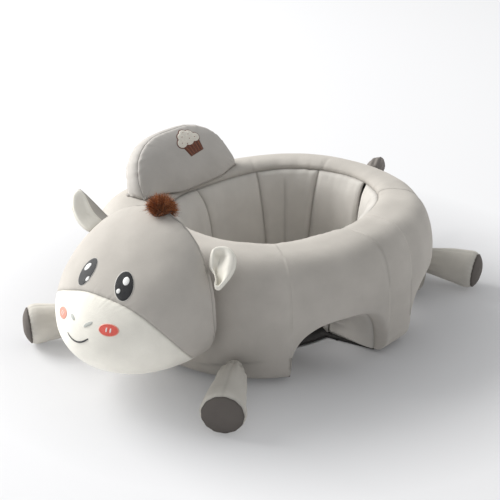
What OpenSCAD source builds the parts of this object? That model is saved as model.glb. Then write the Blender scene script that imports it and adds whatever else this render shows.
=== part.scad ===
// Plush floor seat for a sitting baby: a stuffed ring round a seat well,
// with two leg arches at the front, a headrest at the back, and the head,
// legs and tail of a calf sewn round it.
// The origin is the middle of the well on the floor. The sitter looks along -Y,
// and the calf's head is towards -X.

/* [Seat ring] */
// Reach of the ring from the middle of the well to the sitter's front
ring_front = 219; // [205:1:235]
// Reach to the sitter's back
ring_back = 203; // [195:1:220]
// Reach to the tail side
ring_tail = 212; // [200:1:230]
// Reach to the head side
ring_head = 256; // [245:1:270]
// Height of the crest at the sitter's front
crest_front = 175; // [160:1:190]
// Height of the crest at the sitter's back
crest_back = 163; // [150:1:178]
// Half width of the seat well
well_side = 139; // [125:1:150]
// Reach of the well towards the front
well_front = 102; // [92:1:112]
// Reach of the well towards the back
well_back = 118; // [105:1:125]

/* [Leg arches] */
// Width of the post between the legs, at the outside
post_w = 54; // [40:1:70]
// How far the ring swells outward at its far shoulder, between the head and the headrest
shoulder_out = 48; // [36:1:54]
// How much higher its crest is there
shoulder_rise = 6; // [0:1:8]
// Width of each leg arch, at the outside
arch_w = 146; // [120:1:160]
// Height of the arches
arch_h = 84; // [65:1:95]

/* [Fabric] */
// Thickness of the plush cover fabric
cover_t = 2; // [1.5:0.1:3]
// Clearance between a cover and its stuffing, or between sewn parts
gap = 0.4; // [0.3:0.05:0.6]
// Thickness of the non-slip base pad
base_t = 4; // [4:0.5:6]
// Thickness of the seat pad in the well
seat_t = 20; // [12:1:30]

/* [Head] */
// Half length of the muzzle form
muzzle_len = 140; // [134:1:146]
// Half width of the muzzle form
muzzle_wide = 117; // [112:1:121]
// Half height of the muzzle form
muzzle_high = 133; // [128:1:138]
// Half length of the forehead form along its own axis
brow_len = 217; // [210:1:224]
// Half width of the forehead form
brow_wide = 148; // [140:1:154]
// Half height of the forehead form, square to its axis
brow_high = 100; // [96:1:104]
// How far the forehead form dips towards the nose, in degrees
head_dip = 19.5; // [15:0.5:23]

/* [Face] */
// Half width of an eye
eye_w = 12.5; // [9:0.5:14]
// Half height of an eye
eye_h = 19.5; // [14:0.5:22]
// Half width of a cheek patch
cheek_w = 14.5; // [11:0.5:17]
// Half height of a cheek patch
cheek_h = 8; // [6:0.5:10]
// Thickness of a sewn-on patch
patch_t = 1; // [0.8:0.1:1.5]
// Radius of the fur tuft
tuft_r = 17; // [12:1:22]

/* [Ears] */
// Length of an ear
ear_len = 53; // [45:1:62]
// Greatest half width of an ear
ear_half_w = 19; // [14:1:24]

/* [Legs] */
// Length of a foreleg from its seam to the sole
leg_len = 102; // [88:1:110]
// Length of a hind leg from its seam to the sole
hind_leg_len = 90; // [80:1:100]
// Radius of the sole
sole_r = 30; // [24:1:34]
// Radius of the gathered end that is sewn to the ring
leg_root_r = 14; // [10:1:18]
// Height of the gathered end above the floor
leg_root_z = 35; // [32:1:44]
// Thickness of the sole fabric
sole_t = 3; // [2:0.5:4]

/* [Tail] */
// Length of the tail
tail_len = 104; // [80:1:120]
// Radius of the tail at its root
tail_root_r = 9; // [7:0.5:12]
// Radius of the tuft at its end
tail_tip_r = 14; // [11:0.5:18]
// Height of the tail's root above the floor
tail_z = 98; // [80:1:110]
// How far the tail points above level, in degrees
tail_up = 14; // [5:1:25]

/* [Headrest] */
// Half width of the headrest
rest_half_w = 104; // [98:1:112]
// Height of the headrest
rest_h = 92; // [80:1:98]
// Distance between its front and back seams
rest_gusset = 30; // [27:1:36]
// Crown of its front and back panels
rest_crown = 13; // [8:1:18]
// Lean towards the sitter's back, in degrees
rest_lean = 31.5; // [24:0.5:35]
// Turn about the upright, in degrees
rest_turn = 3.5; // [0:0.5:6]
// Roll that lifts the head-side end, in degrees
rest_roll = 2; // [0:0.5:6]

/* [Zip] */
// Length of the filling zip under the tail side
zip_len = 150; // [100:1:180]
// Width of the slot in the base pad for the zip
zip_slot_w = 16; // [14:1:20]

/* [Hidden] */
$fn = 48;

// Roundness of the ring's outline seen from above: 2 is an ellipse
outline_n = 2.2;
// Height of the widest part of the ring, as a share of its height
belly = 0.42;
// Squareness of the ring's section: 1 is round, less is squarer
crown_sq_r = 0.68;
crown_sq_z = 0.78;
foot_sq_r = 0.32;
foot_sq_z = 0.42;
// Roundness of the leg arch: 2 is an ellipse
arch_n = 2.6;
// Rise of the ring towards the nape
nape_rise = 8;
// Everything above the base pad starts here
floor_z = base_t + gap;

// Seams round the section, in degrees: 0 is the outer side, 90 the crest, 180 the inner side
hem_t = -75;
rim_t = 120;
inner_hem_t = 250;
seam_step = 2;
cover_ts = [hem_t, -48, -20, 8, 34, 56, 77, 98, rim_t];
lining_ts = [rim_t + seam_step, 142, 165, 200, inner_hem_t];
arch_ts = [hem_t - seam_step, -92, inner_hem_t + seam_step - 360];
// The stuffing's corners sit behind corners of the covers, so that its flats stay inside theirs
stuffing_ts = [-92, -48, -20, 8, 34, 56, 77, 98, rim_t + seam_step, 142, 200];
stuffing_d = cover_t + 2 * gap;

// Outer directions of the arch jambs, from the front towards the side
arch_from = asin(post_w / 2 / ring_front);
arch_to = arch_from + 2 * asin(arch_w / 2 / ring_front);
// Inner directions of the same jambs, turned further round
jamb_turn_from = 11;
jamb_turn_to = 12;
arch_in_from = arch_from + jamb_turn_from;
arch_in_to = arch_to + jamb_turn_to;
// Directions beyond which the sections run straight out from the middle
straight_from = arch_in_to + 6;
arch_steps = 10;
side_steps = 12;

// Small helpers
function spow(v, p) = sign(v) * pow(abs(v), p);
function flat2(lists) = [for (l = lists) each l];
function backwards(l) = [for (k = [len(l) - 1:-1:0]) l[k]];
function mix(a, b, f) = a + (b - a) * f;
function unit(v) = v / norm(v);

// Faces of a skin through n loops of m points each, closed round or with a zipped cap at each end
function skin_faces(n, m, closed) = concat(
    [for (i = [0:n - (closed ? 1 : 2)], j = [0:m - 1]) let (
        a = i * m + j,
        b = i * m + (j + 1) % m,
        c = ((i + 1) % n) * m + (j + 1) % m,
        d = ((i + 1) % n) * m + j
    ) each [[a, b, c], [a, c, d]]],
    closed ? [] : cap_faces(0, m, true),
    closed ? [] : cap_faces((n - 1) * m, m, false)
);
function cap_faces(first, m, flip) = [
    for (i = [0:m / 2 - 2]) let (
        a = first + i,
        b = first + i + 1,
        c = first + m - 2 - i,
        d = first + m - 1 - i
    ) each (flip ? [[a, c, b], [a, d, c]] : [[a, b, c], [a, c, d]])
];
// Volume by the faces' signs, so that each skin can be turned the right way out
function signed_volume(pts, faces) =
    [for (f = faces) cross(pts[f[0]], pts[f[1]]) * pts[f[2]]] * [for (f = faces) 1];
module skin(loops, closed = false) {
    m = len(loops[0]);
    pts = flat2(loops);
    faces = skin_faces(len(loops), m, closed);
    turned = signed_volume(pts, faces) > 0 ? [for (f = faces) [f[0], f[2], f[1]]] : faces;
    polyhedron(pts, turned);
}

// Seat ring: outline, height and section
function reach(a, front, back, tail, head) = let (
    rx = sin(a) > 0 ? tail : head,
    ry = cos(a) > 0 ? front : back,
    sum = pow(abs(sin(a)) / rx, outline_n) + pow(abs(cos(a)) / ry, outline_n)
) pow(sum, -1 / outline_n);
// Share of the far shoulder's swelling that a direction gets
shoulder_a = -146;
shoulder_w = 28;
function shoulder(a) = exp(-pow(((a - shoulder_a + 540) % 360 - 180) / shoulder_w, 2));
function outer_r(a) = reach(a, ring_front, ring_back, ring_tail, ring_head) + shoulder_out * shoulder(a);
function inner_r(a) = reach(a, well_front, well_back, well_side, well_side);
function crest(a) = mix(crest_front, crest_back, (1 - cos(a)) / 2)
    + nape_rise * pow(max(0, -sin(a)), 3) + shoulder_rise * shoulder(a);
// Level where the section is widest: fixed by the floor, and lifted over the tops of the arches
arch_lift_from = 40;
function belly_z(top, low) = mix(floor_z, top, belly) + 0.5 * max(0, low - arch_lift_from);
// A station is [outer direction, inner direction, height of its underside]; d is the depth under the covers
function section_point(st, t, d) = let (
    ro = outer_r(st[0]) - d,
    ri = inner_r(st[1]) + d,
    outer_pt = [ro * sin(st[0]), -ro * cos(st[0])],
    inner_pt = [ri * sin(st[1]), -ri * cos(st[1])],
    top = crest(st[0]) - d,
    low = st[2],
    mid = belly_z(top, low),
    upper = sin(t) > 0,
    q = 0.5 + 0.5 * spow(cos(t), upper ? crown_sq_r : foot_sq_r),
    z = mid + spow(sin(t), upper ? crown_sq_z : foot_sq_z) * (upper ? top - mid : mid - low)
) concat(mix(inner_pt, outer_pt, q), [z]);
// Less than nothing inside the ring grown by d, more outside
function ring_side(p, d) = let (
    a = atan2(p[0], -p[1]),
    r = norm([p[0], p[1]]),
    ro = outer_r(a) + d,
    ri = inner_r(a) - d,
    top = crest(a) + d,
    low = floor_z - d,
    mid = belly_z(crest(a), 0),
    upper = p[2] > mid,
    e_r = 2 / (upper ? crown_sq_r : foot_sq_r),
    e_z = 2 / (upper ? crown_sq_z : foot_sq_z),
    across = abs(r - (ro + ri) / 2) / ((ro - ri) / 2),
    along = abs(p[2] - mid) / (upper ? top - mid : mid - low)
) pow(across, e_r) + pow(along, e_z) - 1;

// Stations of one side, from the front round to the back
function deg_of(d, r) = d / r * 180 / PI;
function arch_station(k, d) = let (
    a = k * 180 / arch_steps,
    f = (1 - spow(cos(a), 2 / arch_n)) / 2,
    wo = deg_of(d, ring_front),
    wi = deg_of(d, well_front)
) [
    mix(arch_from - wo, arch_to + wo, f),
    mix(arch_in_from - wi, arch_in_to + wi, f),
    floor_z + (arch_h + d - floor_z) * pow(max(0, sin(a)), 2 / arch_n)
];
function inner_of(a) = a > straight_from ? a
    : mix(arch_in_to, straight_from, (a - arch_to) / (straight_from - arch_to));
side_as = concat(
    [for (k = [1:2]) mix(arch_to, straight_from, k / 2)],
    [for (k = [1:side_steps - 2]) mix(straight_from, 180, k / (side_steps - 2))]
);
function half_stations(d) = concat(
    [for (k = [0:arch_steps]) arch_station(k, d)],
    [for (a = side_as) [a, inner_of(a), floor_z]]
);
function mirrored(st) = [-st[0], -st[1], st[2]];
front_station = [0, 0, floor_z];
last = arch_steps + len(side_as);
function ring_stations(d) = let (half = half_stations(d)) concat(
    [front_station],
    half,
    [for (k = [last - 1:-1:0]) mirrored(half[k])]
);
function side_arch(s, d) = [for (k = [0:arch_steps]) let (
    st = arch_station(k, d)
) s > 0 ? st : mirrored(st)];

// Loops of a sewn panel: its outer face, then back along its inner face
function panel_loops(outer, inner, ts) = [for (k = [0:len(outer) - 1]) concat(
    [for (t = ts) section_point(outer[k], t, 0)],
    [for (t = backwards(ts)) section_point(inner[k], t, cover_t)]
)];

module ring_cover() {
    color([0.74, 0.72, 0.69])
        skin(panel_loops(ring_stations(0), ring_stations(cover_t), cover_ts), true);
}
module ring_stuffing() {
    color([0.96, 0.96, 0.94]) skin([for (st = ring_stations(stuffing_d))
        [for (t = stuffing_ts) section_point(st, t, stuffing_d)]], true);
}
module arch_liner(s) {
    color([0.66, 0.64, 0.61])
        skin(panel_loops(side_arch(s, 0), side_arch(s, cover_t), arch_ts));
}

// Well lining: panels between upright seams, given as outer directions
seam_as = [-171, -117, -62, 74, 113, 140];
// Half of the clearance between two neighbouring panels, as an angle
seam_half = 0.15;
function wrapped(st, from) = st[0] < from ? [st[0] + 360, st[1] + 360, st[2]] : st;
function between(a0, a1, d) = let (
    all = [for (st = ring_stations(d)) wrapped(st, a0)],
    ends = [for (a = [a0 + seam_half, a1 - seam_half]) [a, side_inner(a), floor_z]],
    inside = [for (st = all) if (st[0] > a0 + 1 && st[0] < a1 - 1) st]
) concat([ends[0]], sorted(inside), [ends[1]]);
function side_inner(a) = a > 180 ? a : (a < 0 ? -1 : 1) * inner_of(abs(a));
function sorted(l) = len(l) < 2 ? l : let (
    p = l[floor(len(l) / 2)],
    low = [for (x = l) if (x[0] < p[0]) x],
    same = [for (x = l) if (x[0] == p[0]) x],
    high = [for (x = l) if (x[0] > p[0]) x]
) concat(sorted(low), same, sorted(high));
module lining(a0, a1) {
    color([0.72, 0.7, 0.67])
        skin(panel_loops(between(a0, a1, 0), between(a0, a1, cover_t), lining_ts));
}

// Seat pad: a crowned cushion that fills the bottom of the well
seat_n = 24;
seat_clear = 1.5;
function seat_loop(f, z) = [for (k = [0:seat_n - 1]) let (
    a = k * 360 / seat_n,
    r = (inner_r(a) - seat_clear) * f
) [r * sin(a), -r * cos(a), z]];
module seat_pad() {
    z0 = floor_z;
    color([0.7, 0.68, 0.65]) skin([
        seat_loop(0.1, z0),
        seat_loop(0.97, z0),
        seat_loop(1, z0 + seat_t * 0.4),
        seat_loop(0.98, z0 + seat_t * 0.7),
        seat_loop(0.8, z0 + seat_t * 0.95),
        seat_loop(0.1, z0 + seat_t)
    ]);
}

// Base pad: a flat sheet under ring and well, notched at the two arches
base_inset = 10;
function base_point(a, r) = [r * sin(a), -r * cos(a)];
function base_outer(st) = base_point(st[0], outer_r(st[0]) - base_inset);
function base_inner(st) = base_point(st[1], inner_r(st[1]) + base_inset);
function base_side(s) = let (sts = [for (st = half_stations(0)) s > 0 ? st : mirrored(st)]) concat(
    [base_outer(sts[0])],
    [for (k = [0:arch_steps]) base_inner(sts[k])],
    [for (k = [arch_steps:last]) base_outer(sts[k])]
);
module base_outline() {
    left = backwards(base_side(-1));
    polygon(concat([base_outer(front_station)], base_side(1), [for (k = [1:len(left) - 1]) left[k]]));
}
zip_x = (well_side + ring_tail) / 2;
module base_pad() {
    color([0.13, 0.12, 0.12]) difference() {
        linear_extrude(base_t) base_outline();
        translate([zip_x - zip_slot_w / 2, -zip_len / 2, -1])
            cube([zip_slot_w, zip_len, base_t + 2]);
    }
}

// Filling zip in the base pad's slot: its tapes lie over the coil, and a cradle runs under it
tape_t = 0.5;
coil_w = 4;
coil_t = 1.2;
coil_z = base_t - tape_t - coil_t;
run_gap = 0.3;
slider_wall = 0.7;
slider_len = 10;
zip_end = 4;
pull_len = 14;
pull_w = 4;
pull_hole_r = 1;
module zip_tapes() {
    w = (zip_slot_w - coil_w) / 2;
    color([0.2, 0.2, 0.2]) for (s = [-1, 1])
        translate([zip_x + s * (coil_w + w) / 2 - w / 2, -zip_len / 2, base_t - tape_t])
            cube([w, zip_len, tape_t]);
}
module zip_coil() {
    color([0.25, 0.25, 0.25])
        translate([zip_x - coil_w / 2, -zip_len / 2, coil_z])
            cube([coil_w, zip_len, coil_t + tape_t]);
}
module zip_slider() {
    w = coil_w + 2 * run_gap + 2 * slider_wall;
    z0 = coil_z - run_gap - slider_wall;
    y0 = -zip_len / 2 + zip_end;
    color([0.6, 0.6, 0.62]) difference() {
        translate([zip_x - w / 2, y0, z0]) cube([w, slider_len, slider_wall + coil_t]);
        translate([zip_x - w / 2 + slider_wall, y0 - 1, z0 + slider_wall])
            cube([w - 2 * slider_wall, slider_len + 2, base_t]);
    }
}
module zip_pull() {
    z0 = coil_z - run_gap - slider_wall;
    y0 = -zip_len / 2 + zip_end + slider_len;
    color([0.6, 0.6, 0.62]) difference() {
        translate([zip_x - pull_w / 2, y0, z0]) cube([pull_w, pull_len, slider_wall]);
        translate([zip_x, y0 + pull_len - 3 * pull_hole_r, z0 - 1])
            cylinder(r = pull_hole_r, h = slider_wall + 2, $fn = 24);
    }
}

// Head: a muzzle form and a dipped forehead form run together in front, a flatter form behind,
// all cut by the ring. Places on it are given as rays from head_eye.
head_reach = 29;
head_eye = [-ring_head - head_reach, 0, 115];
muzzle_mid = head_eye + [-3, 0, 5];
brow_mid = head_eye + [94, 0, 38];
back_axes = [60, 122, 169];
// Sharpness of the change from one front form to the other
blend_n = 14;
function dir(u, v) = [-cos(v), sin(v) * sin(u), sin(v) * cos(u)];
function dipped(p) = [
    p[0] * cos(head_dip) + p[2] * sin(head_dip),
    p[1],
    -p[0] * sin(head_dip) + p[2] * cos(head_dip)
];
function over(p, a) = [p[0] / a[0], p[1] / a[1], p[2] / a[2]];
function ray(o, e) = (-o * e + sqrt(pow(o * e, 2) - (e * e) * (o * o - 1))) / (e * e);
function deeper(a, d) = [a[0] - d, a[1] - d, a[2] - d];
function front_r(g, d) = let (
    m = deeper([muzzle_len, muzzle_wide, muzzle_high], d),
    b = deeper([brow_len, brow_wide, brow_high], d),
    rm = ray(over(head_eye - muzzle_mid, m), over(g, m)),
    rb = ray(over(dipped(head_eye - brow_mid), b), over(dipped(g), b))
) pow(pow(rm, -blend_n) + pow(rb, -blend_n), -1 / blend_n);
function back_r(g, d) = g[0] < 0 ? 1000 : ray([0, 0, 0], over(g, deeper(back_axes, d)));
function form_r(g, d) = min(front_r(g, d), back_r(g, d));
function head_pt(u, v, r) = head_eye + dir(u, v) * r;
// Halving searches: the sign is positive at lo and negative at hi
function seam_v(u, lo, hi, k) = k == 0 ? lo : let (v = (lo + hi) / 2)
    back_r(dir(u, v), 0) > front_r(dir(u, v), 0) ? seam_v(u, v, hi, k - 1) : seam_v(u, lo, v, k - 1);
function touch_v(u, lo, hi, k) = k == 0 ? lo : let (v = (lo + hi) / 2)
    ring_side(head_pt(u, v, form_r(dir(u, v), 0)), seat_gap) > 0
        ? touch_v(u, v, hi, k - 1) : touch_v(u, lo, v, k - 1);
function ring_r(g, lo, hi, k) = k == 0 ? lo : let (r = (lo + hi) / 2)
    ring_side(head_eye + g * r, stuffing_gap) > 0 ? ring_r(g, r, hi, k - 1) : ring_r(g, lo, r, k - 1);
// First stretch of a ray that ends inside the ring, or the whole ray
function first_in(g, r, step, whole) = r >= whole ? whole
    : ring_side(head_eye + g * r, stuffing_gap) < 0 ? ring_r(g, r - step, r, 9)
    : first_in(g, r + step, step, whole);
function stuffing_r(g, d) = first_in(g, 0, 6, form_r(g, d));
search = 12;
seat_gap = 0.8;
stuffing_gap = seat_gap + 2;
function back_seam(u) = seam_v(u, 60, 160, search);
function neck(u) = touch_v(u, 60, 176, search);
function panel_end(u) = min(back_seam(u), neck(u));
// Upper edge of the muzzle, as an angle from the nose
function muzzle_v(u) = min(
    panel_end(u),
    mix(muzzle_top_v, muzzle_side_v, pow(abs(u) / muzzle_side_u, 2.05))
);
muzzle_top_v = 28.5;
muzzle_side_v = 63.5;
muzzle_side_u = 90;
muzzle_end_u = muzzle_meet(muzzle_side_u, 150, search);
function muzzle_meet(lo, hi, k) = k == 0 ? lo : let (u = (lo + hi) / 2)
    muzzle_v(u) < panel_end(u) - 1.5 ? muzzle_meet(u, hi, k - 1) : muzzle_meet(lo, u, k - 1);
edge_v = 0.15;
// Depth of the head's stuffing under its covers
head_slack = 3.6;

function head_strip(u, v0, v1, n, back) = let (
    vs = [for (k = [0:n - 1]) mix(v0, v1, k / (n - 1))]
) concat(
    [for (v = vs) head_pt(u, v, back ? back_r(dir(u, v), 0) : front_r(dir(u, v), 0))],
    [for (v = backwards(vs))
        head_pt(u, v, back ? back_r(dir(u, v), cover_t) : front_r(dir(u, v), cover_t))]
);
module head_panel() {
    n = 20;
    us = [for (k = [0:n]) mix(-muzzle_end_u, muzzle_end_u, k / n)];
    color([0.76, 0.74, 0.71])
        skin([for (u = us) head_strip(u, muzzle_v(u) + edge_v, panel_end(u) - edge_v, 6, false)]);
}
module muzzle_panel() {
    n = 22;
    fs = [0.05, 0.15, 0.27, 0.4, 0.54, 0.69, 0.85, 1];
    function muzzle_loop(f, d) = [for (k = [0:n - 1]) let (
        u = k * 360 / n,
        w = u > 180 ? u - 360 : u,
        v = f * (muzzle_v(w) - edge_v)
    ) head_pt(u, v, front_r(dir(u, v), d))];
    color([0.93, 0.92, 0.89])
        skin(concat(
            [for (f = fs) muzzle_loop(f, 0)],
            [for (f = backwards(fs)) muzzle_loop(f, cover_t)]
        ));
}
nape_u = nape_meet(40, 175, search);
function nape_meet(lo, hi, k) = k == 0 ? lo : let (u = (lo + hi) / 2)
    neck(u) - back_seam(u) > 2 ? nape_meet(u, hi, k - 1) : nape_meet(lo, u, k - 1);
module nape_panel() {
    n = 14;
    us = [for (k = [0:n]) mix(-nape_u, nape_u, k / n)];
    color([0.74, 0.72, 0.69])
        skin([for (u = us) head_strip(u, back_seam(u) + edge_v * 3, neck(u) - edge_v, 3, true)]);
}
module head_stuffing() {
    n = 22;
    vs = [4, 22, 40, 58, 76, 92, 106, 124, 148, 174];
    color([0.96, 0.96, 0.94]) skin([for (v = vs) [for (k = [0:n - 1]) let (
        u = k * 360 / n,
        g = dir(u, v)
    ) head_eye + g * stuffing_r(g, cover_t + head_slack)]]);
}

// Sewn-on face pieces: discs that follow the head, given by their middle and half sizes
face_low = 0.1;
function face_pt(at, x, z, d) = let (
    g = dir(at[0], at[1]),
    r = form_r(g, 0),
    across = unit(cross([0, 0, 1], g)),
    up = cross(g, across),
    h = unit(g * r + across * x + up * z)
) head_eye + h * (form_r(h, 0) + d);
function disc_loop(at, w, h, lean, n, f, d) = [for (k = [0:n - 1]) let (
    x = f * w * cos(k * 360 / n),
    z = f * h * sin(k * 360 / n)
) face_pt(at, x * cos(lean) - z * sin(lean), x * sin(lean) + z * cos(lean), d)];
module face_disc(at, w, h, lean = 0, n = 12, low = face_low, thick = patch_t) {
    skin([
        disc_loop(at, w, h, lean, n, 0.2, low),
        disc_loop(at, w, h, lean, n, 1, low),
        disc_loop(at, w, h, lean, n, 1, low + thick),
        disc_loop(at, w, h, lean, n, 0.2, low + thick)
    ]);
}
// Places on the face: [turn round the nose, angle from the nose]
eye_at = [29, 46.5];
cheek_at = [75, 23.3];
nostril_at = [49, 10.8];
glint_up = [25, 52];
glint_low = [31, 41];
glint_n = 6;
glint_t = 0.6;
function to_side(at, s) = [s * at[0], at[1]];
// The calf's left is towards -Y
module eye(s) { color([0.06, 0.06, 0.07]) face_disc(to_side(eye_at, s), eye_w, eye_h); }
module eye_glints() {
    low = 2 * face_low + patch_t;
    color("white") for (s = [-1, 1]) {
        face_disc(to_side(glint_up, s), eye_w * 0.36, eye_h * 0.26, 0, glint_n, low, glint_t);
        face_disc(to_side(glint_low, s), eye_w * 0.25, eye_h * 0.18, 0, glint_n, low, glint_t);
    }
}
module cheek(s) { color([0.9, 0.4, 0.36]) face_disc(to_side(cheek_at, s), cheek_w, cheek_h); }
nostril_w = 5.5;
nostril_h = 3;
nostril_lean = 25;
module nostrils() {
    color([0.75, 0.75, 0.74]) for (s = [-1, 1])
        face_disc(to_side(nostril_at, s), nostril_w, nostril_h, s * nostril_lean, glint_n);
}
// Mouth: a stitched arc across the muzzle
mouth_at = [180, 1];
mouth_half = 18;
mouth_drop = 7.5;
mouth_z = -7;
mouth_w = 0.9;
mouth_n = 5;
function mouth_pt(f, dz, d) = let (
    z = mouth_z + mouth_drop * (f * f - 1) + dz
) face_pt(mouth_at, f * mouth_half, z, d);
module mouth_stitch() {
    color([0.1, 0.1, 0.1]) skin([for (k = [-mouth_n:mouth_n]) let (f = k / mouth_n) [
        mouth_pt(f, -mouth_w, face_low),
        mouth_pt(f, mouth_w, face_low),
        mouth_pt(f, mouth_w, face_low + patch_t),
        mouth_pt(f, -mouth_w, face_low + patch_t)
    ]]);
}
// Tuft of fur over the top of the back seam, a dome that sits on the head
tuft_n = 14;
module fur_tuft() {
    at = [0, back_seam(0)];
    rows = [[0.15, 0], [0.8, 0], [1, 0.35], [0.9, 0.65], [0.6, 0.9], [0.15, 1]];
    color([0.42, 0.25, 0.14])
        skin([for (row = rows)
            disc_loop(at, tuft_r, tuft_r, 0, tuft_n, row[0], face_low + tuft_r * row[1])]);
}

// Ears: cupped leaves of two fabrics, hinged on a line beside the back seam
ear_left_u = -46;
ear_right_u = 50;
ear_layer = 2.4;
ear_cup = 7;
// Way each ear points from its root, and the way its width runs
ear_left_way = [-0.387, -0.68, -0.62];
ear_right_way = [-0.05, 0.74, 0.67];
ear_left_span = [0.9, -0.1, -0.45];
ear_right_span = [1, 0, 0.35];
// Angle from the back seam forward to an ear's root
ear_from_seam = 2;
function ear_dir(s) = let (u = s < 0 ? ear_left_u : ear_right_u) dir(u, panel_end(u) - ear_from_seam);
// How far the middle of each root stands off the head's form, so that the ear can fold
ear_left_off = 2.8;
ear_right_off = -0.8;
// Sideways bow of the left ear, which hangs
ear_left_bow = 19;
function ear_off(s) = s < 0 ? ear_left_off : ear_right_off;
function ear_root(s) = head_eye + ear_dir(s) * (form_r(ear_dir(s), 0) + ear_off(s));
function ear_along(s) = unit(s < 0 ? ear_left_way : ear_right_way);
function ear_across(s) = let (
    v = s < 0 ? ear_left_span : ear_right_span,
    w = ear_along(s)
) unit(v - w * (v * w));
// Width of the leaf: the root as a share of the full width, then a rounded end
ear_root_share = 0.42;
function ear_swell(f) = mix(ear_root_share, 1, sin(min(1, f * 1.5) * 90));
function ear_half(f) = ear_half_w * ear_swell(f) * sqrt(max(0.03, 1 - pow(f, 5)));
function ear_loop(s, f, d0, d1) = let (
    n = cross(ear_along(s), ear_across(s)) * -s,
    half = ear_half(f),
    bow = s < 0 ? ear_left_bow * sin(180 * pow(f, 0.8)) : 0,
    base = ear_root(s) + ear_along(s) * (ear_len * f) + ear_across(s) * bow,
    xs = [-1, -0.5, 0, 0.5, 1]
) concat(
    [for (x = xs) base + ear_across(s) * (half * x) + n * (d0 + ear_cup * f * (x * x - 0.4))],
    [for (x = backwards(xs)) base + ear_across(s) * (half * x) + n * (d1 + ear_cup * f * (x * x - 0.4))]
);
module ear_sheet(s, d0, d1) {
    skin([for (f = [0, 0.2, 0.45, 0.7, 0.88, 1]) ear_loop(s, f, d0, d1)]);
}
module ear_back(s) { color([0.76, 0.74, 0.71]) ear_sheet(s, -ear_layer, -gap / 2); }
module ear_lining(s) { color([0.92, 0.91, 0.88]) ear_sheet(s, ear_layer, gap / 2); }

// Legs: stuffed cones with a gathered, rounded root and a flat sole
leg_n = 8;
function leg_profile(d, len) = concat(
    [for (k = [0:leg_n]) let (a = -90 + k * 90 / leg_n) (leg_root_r - d) * [cos(a), sin(a)]],
    [for (k = [1:leg_n]) let (f = k / leg_n, b = (1 - cos(180 * pow(f, 0.8))) / 2)
        [mix(leg_root_r, sole_r, b) - d, f * (len - sole_t)]]
);
// How far the ring's flats lie inside its form, and at the foreleg on the far side
flat_in = 1.1;
far_flat_in = 1.8;
// Each leg: direction from the middle of the seat to its root, and the direction it points, in degrees
// from the front towards the tail, how far the ring's flat there lies inside its form, and its length
foreleg_left = [-63, -56, flat_in, leg_len];
foreleg_right = [-117, -124, far_flat_in, leg_len];
hindleg_left = [61, 18, flat_in, hind_leg_len];
hindleg_right = [118, 150, far_flat_in, hind_leg_len];
sole_clear = 0.3;
function leg_dip(len) = asin((leg_root_z - sole_r - sole_clear) / len);
// Distance from the middle at which a ball of radius d at height z touches the ring in direction a
function touch_r(a, z, d) = touch_search(a, z, d, outer_r(a) - 20, outer_r(a) + 60, search);
function touch_search(a, z, d, lo, hi, k) = k == 0 ? hi : let (r = (lo + hi) / 2)
    ring_side([r * sin(a), -r * cos(a), z], d) > 0
        ? touch_search(a, z, d, lo, r, k - 1) : touch_search(a, z, d, r, hi, k - 1);
module at_leg(place) {
    r = touch_r(place[0], leg_root_z, leg_root_r + gap - place[2]);
    translate([r * sin(place[0]), -r * cos(place[0]), leg_root_z])
        rotate([0, 0, place[1] - 90]) rotate([0, 90 + leg_dip(place[3]), 0]) children();
}
module leg_cover(len) {
    outer = leg_profile(0, len);
    inner = leg_profile(cover_t, len);
    color([0.82, 0.8, 0.77]) rotate_extrude() polygon(concat(outer, backwards(inner)));
}
module leg_stuffing(len) {
    color([0.96, 0.96, 0.94]) rotate_extrude()
        polygon(concat(leg_profile(cover_t + gap, len), [[0, len - sole_t]]));
}
module leg_sole(len) {
    soft = 1.2;
    color([0.4, 0.38, 0.37]) translate([0, 0, len - sole_t + 0.05]) rotate_extrude()
        polygon([[0, 0], [sole_r, 0], [sole_r, sole_t - soft], [sole_r - soft, sole_t], [0, sole_t]]);
}

// Tail: a stuffed stalk with a darker tuft
tail_part = 0.6;
tail_n = 6;
// Direction from the middle of the seat to the tail's root, and the direction the tail points
tail_root_a = 96;
tail_point_a = 104;
module at_tail() {
    r = touch_r(tail_root_a, tail_z, tail_root_r + gap - flat_in);
    translate([r * sin(tail_root_a), -r * cos(tail_root_a), tail_z])
        rotate([0, 0, tail_point_a - 90]) rotate([0, 90 - tail_up, 0]) children();
}
function tail_profile(d) = concat(
    [for (k = [0:tail_n]) let (a = -90 + k * 90 / tail_n) (tail_root_r - d) * [cos(a), sin(a)]],
    [[tail_root_r * 0.8 - d, tail_len * tail_part]]
);
module tail_cover() {
    color([0.76, 0.74, 0.71]) rotate_extrude()
        polygon(concat(tail_profile(0), backwards(tail_profile(cover_t))));
}
module tail_stuffing() {
    color([0.96, 0.96, 0.94]) rotate_extrude()
        polygon(concat(tail_profile(cover_t + gap), [[0, tail_len * tail_part]]));
}
module tail_tuft() {
    z0 = tail_len * tail_part + gap;
    l = tail_len - z0;
    pts = [for (k = [0:10]) let (f = k / 10)
        [max(k == 10 ? 0 : 1, tail_tip_r * pow(sin(180 * pow(mix(0.16, 1, f), 0.75)), 0.7)), z0 + l * f]];
    color([0.4, 0.38, 0.37]) rotate_extrude() polygon(concat([[0, z0]], pts));
}

// Headrest: a half-moon pillow with a gusset, hinged along its lower front seam.
// Its foot is shaped to the ring it rests on.
rest_x = -39;
rest_y = ring_back - 68;
rest_n = 20;
rest_sq = 0.78;
rest_c = 0.42;
foot_rise = 1.5;
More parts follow.
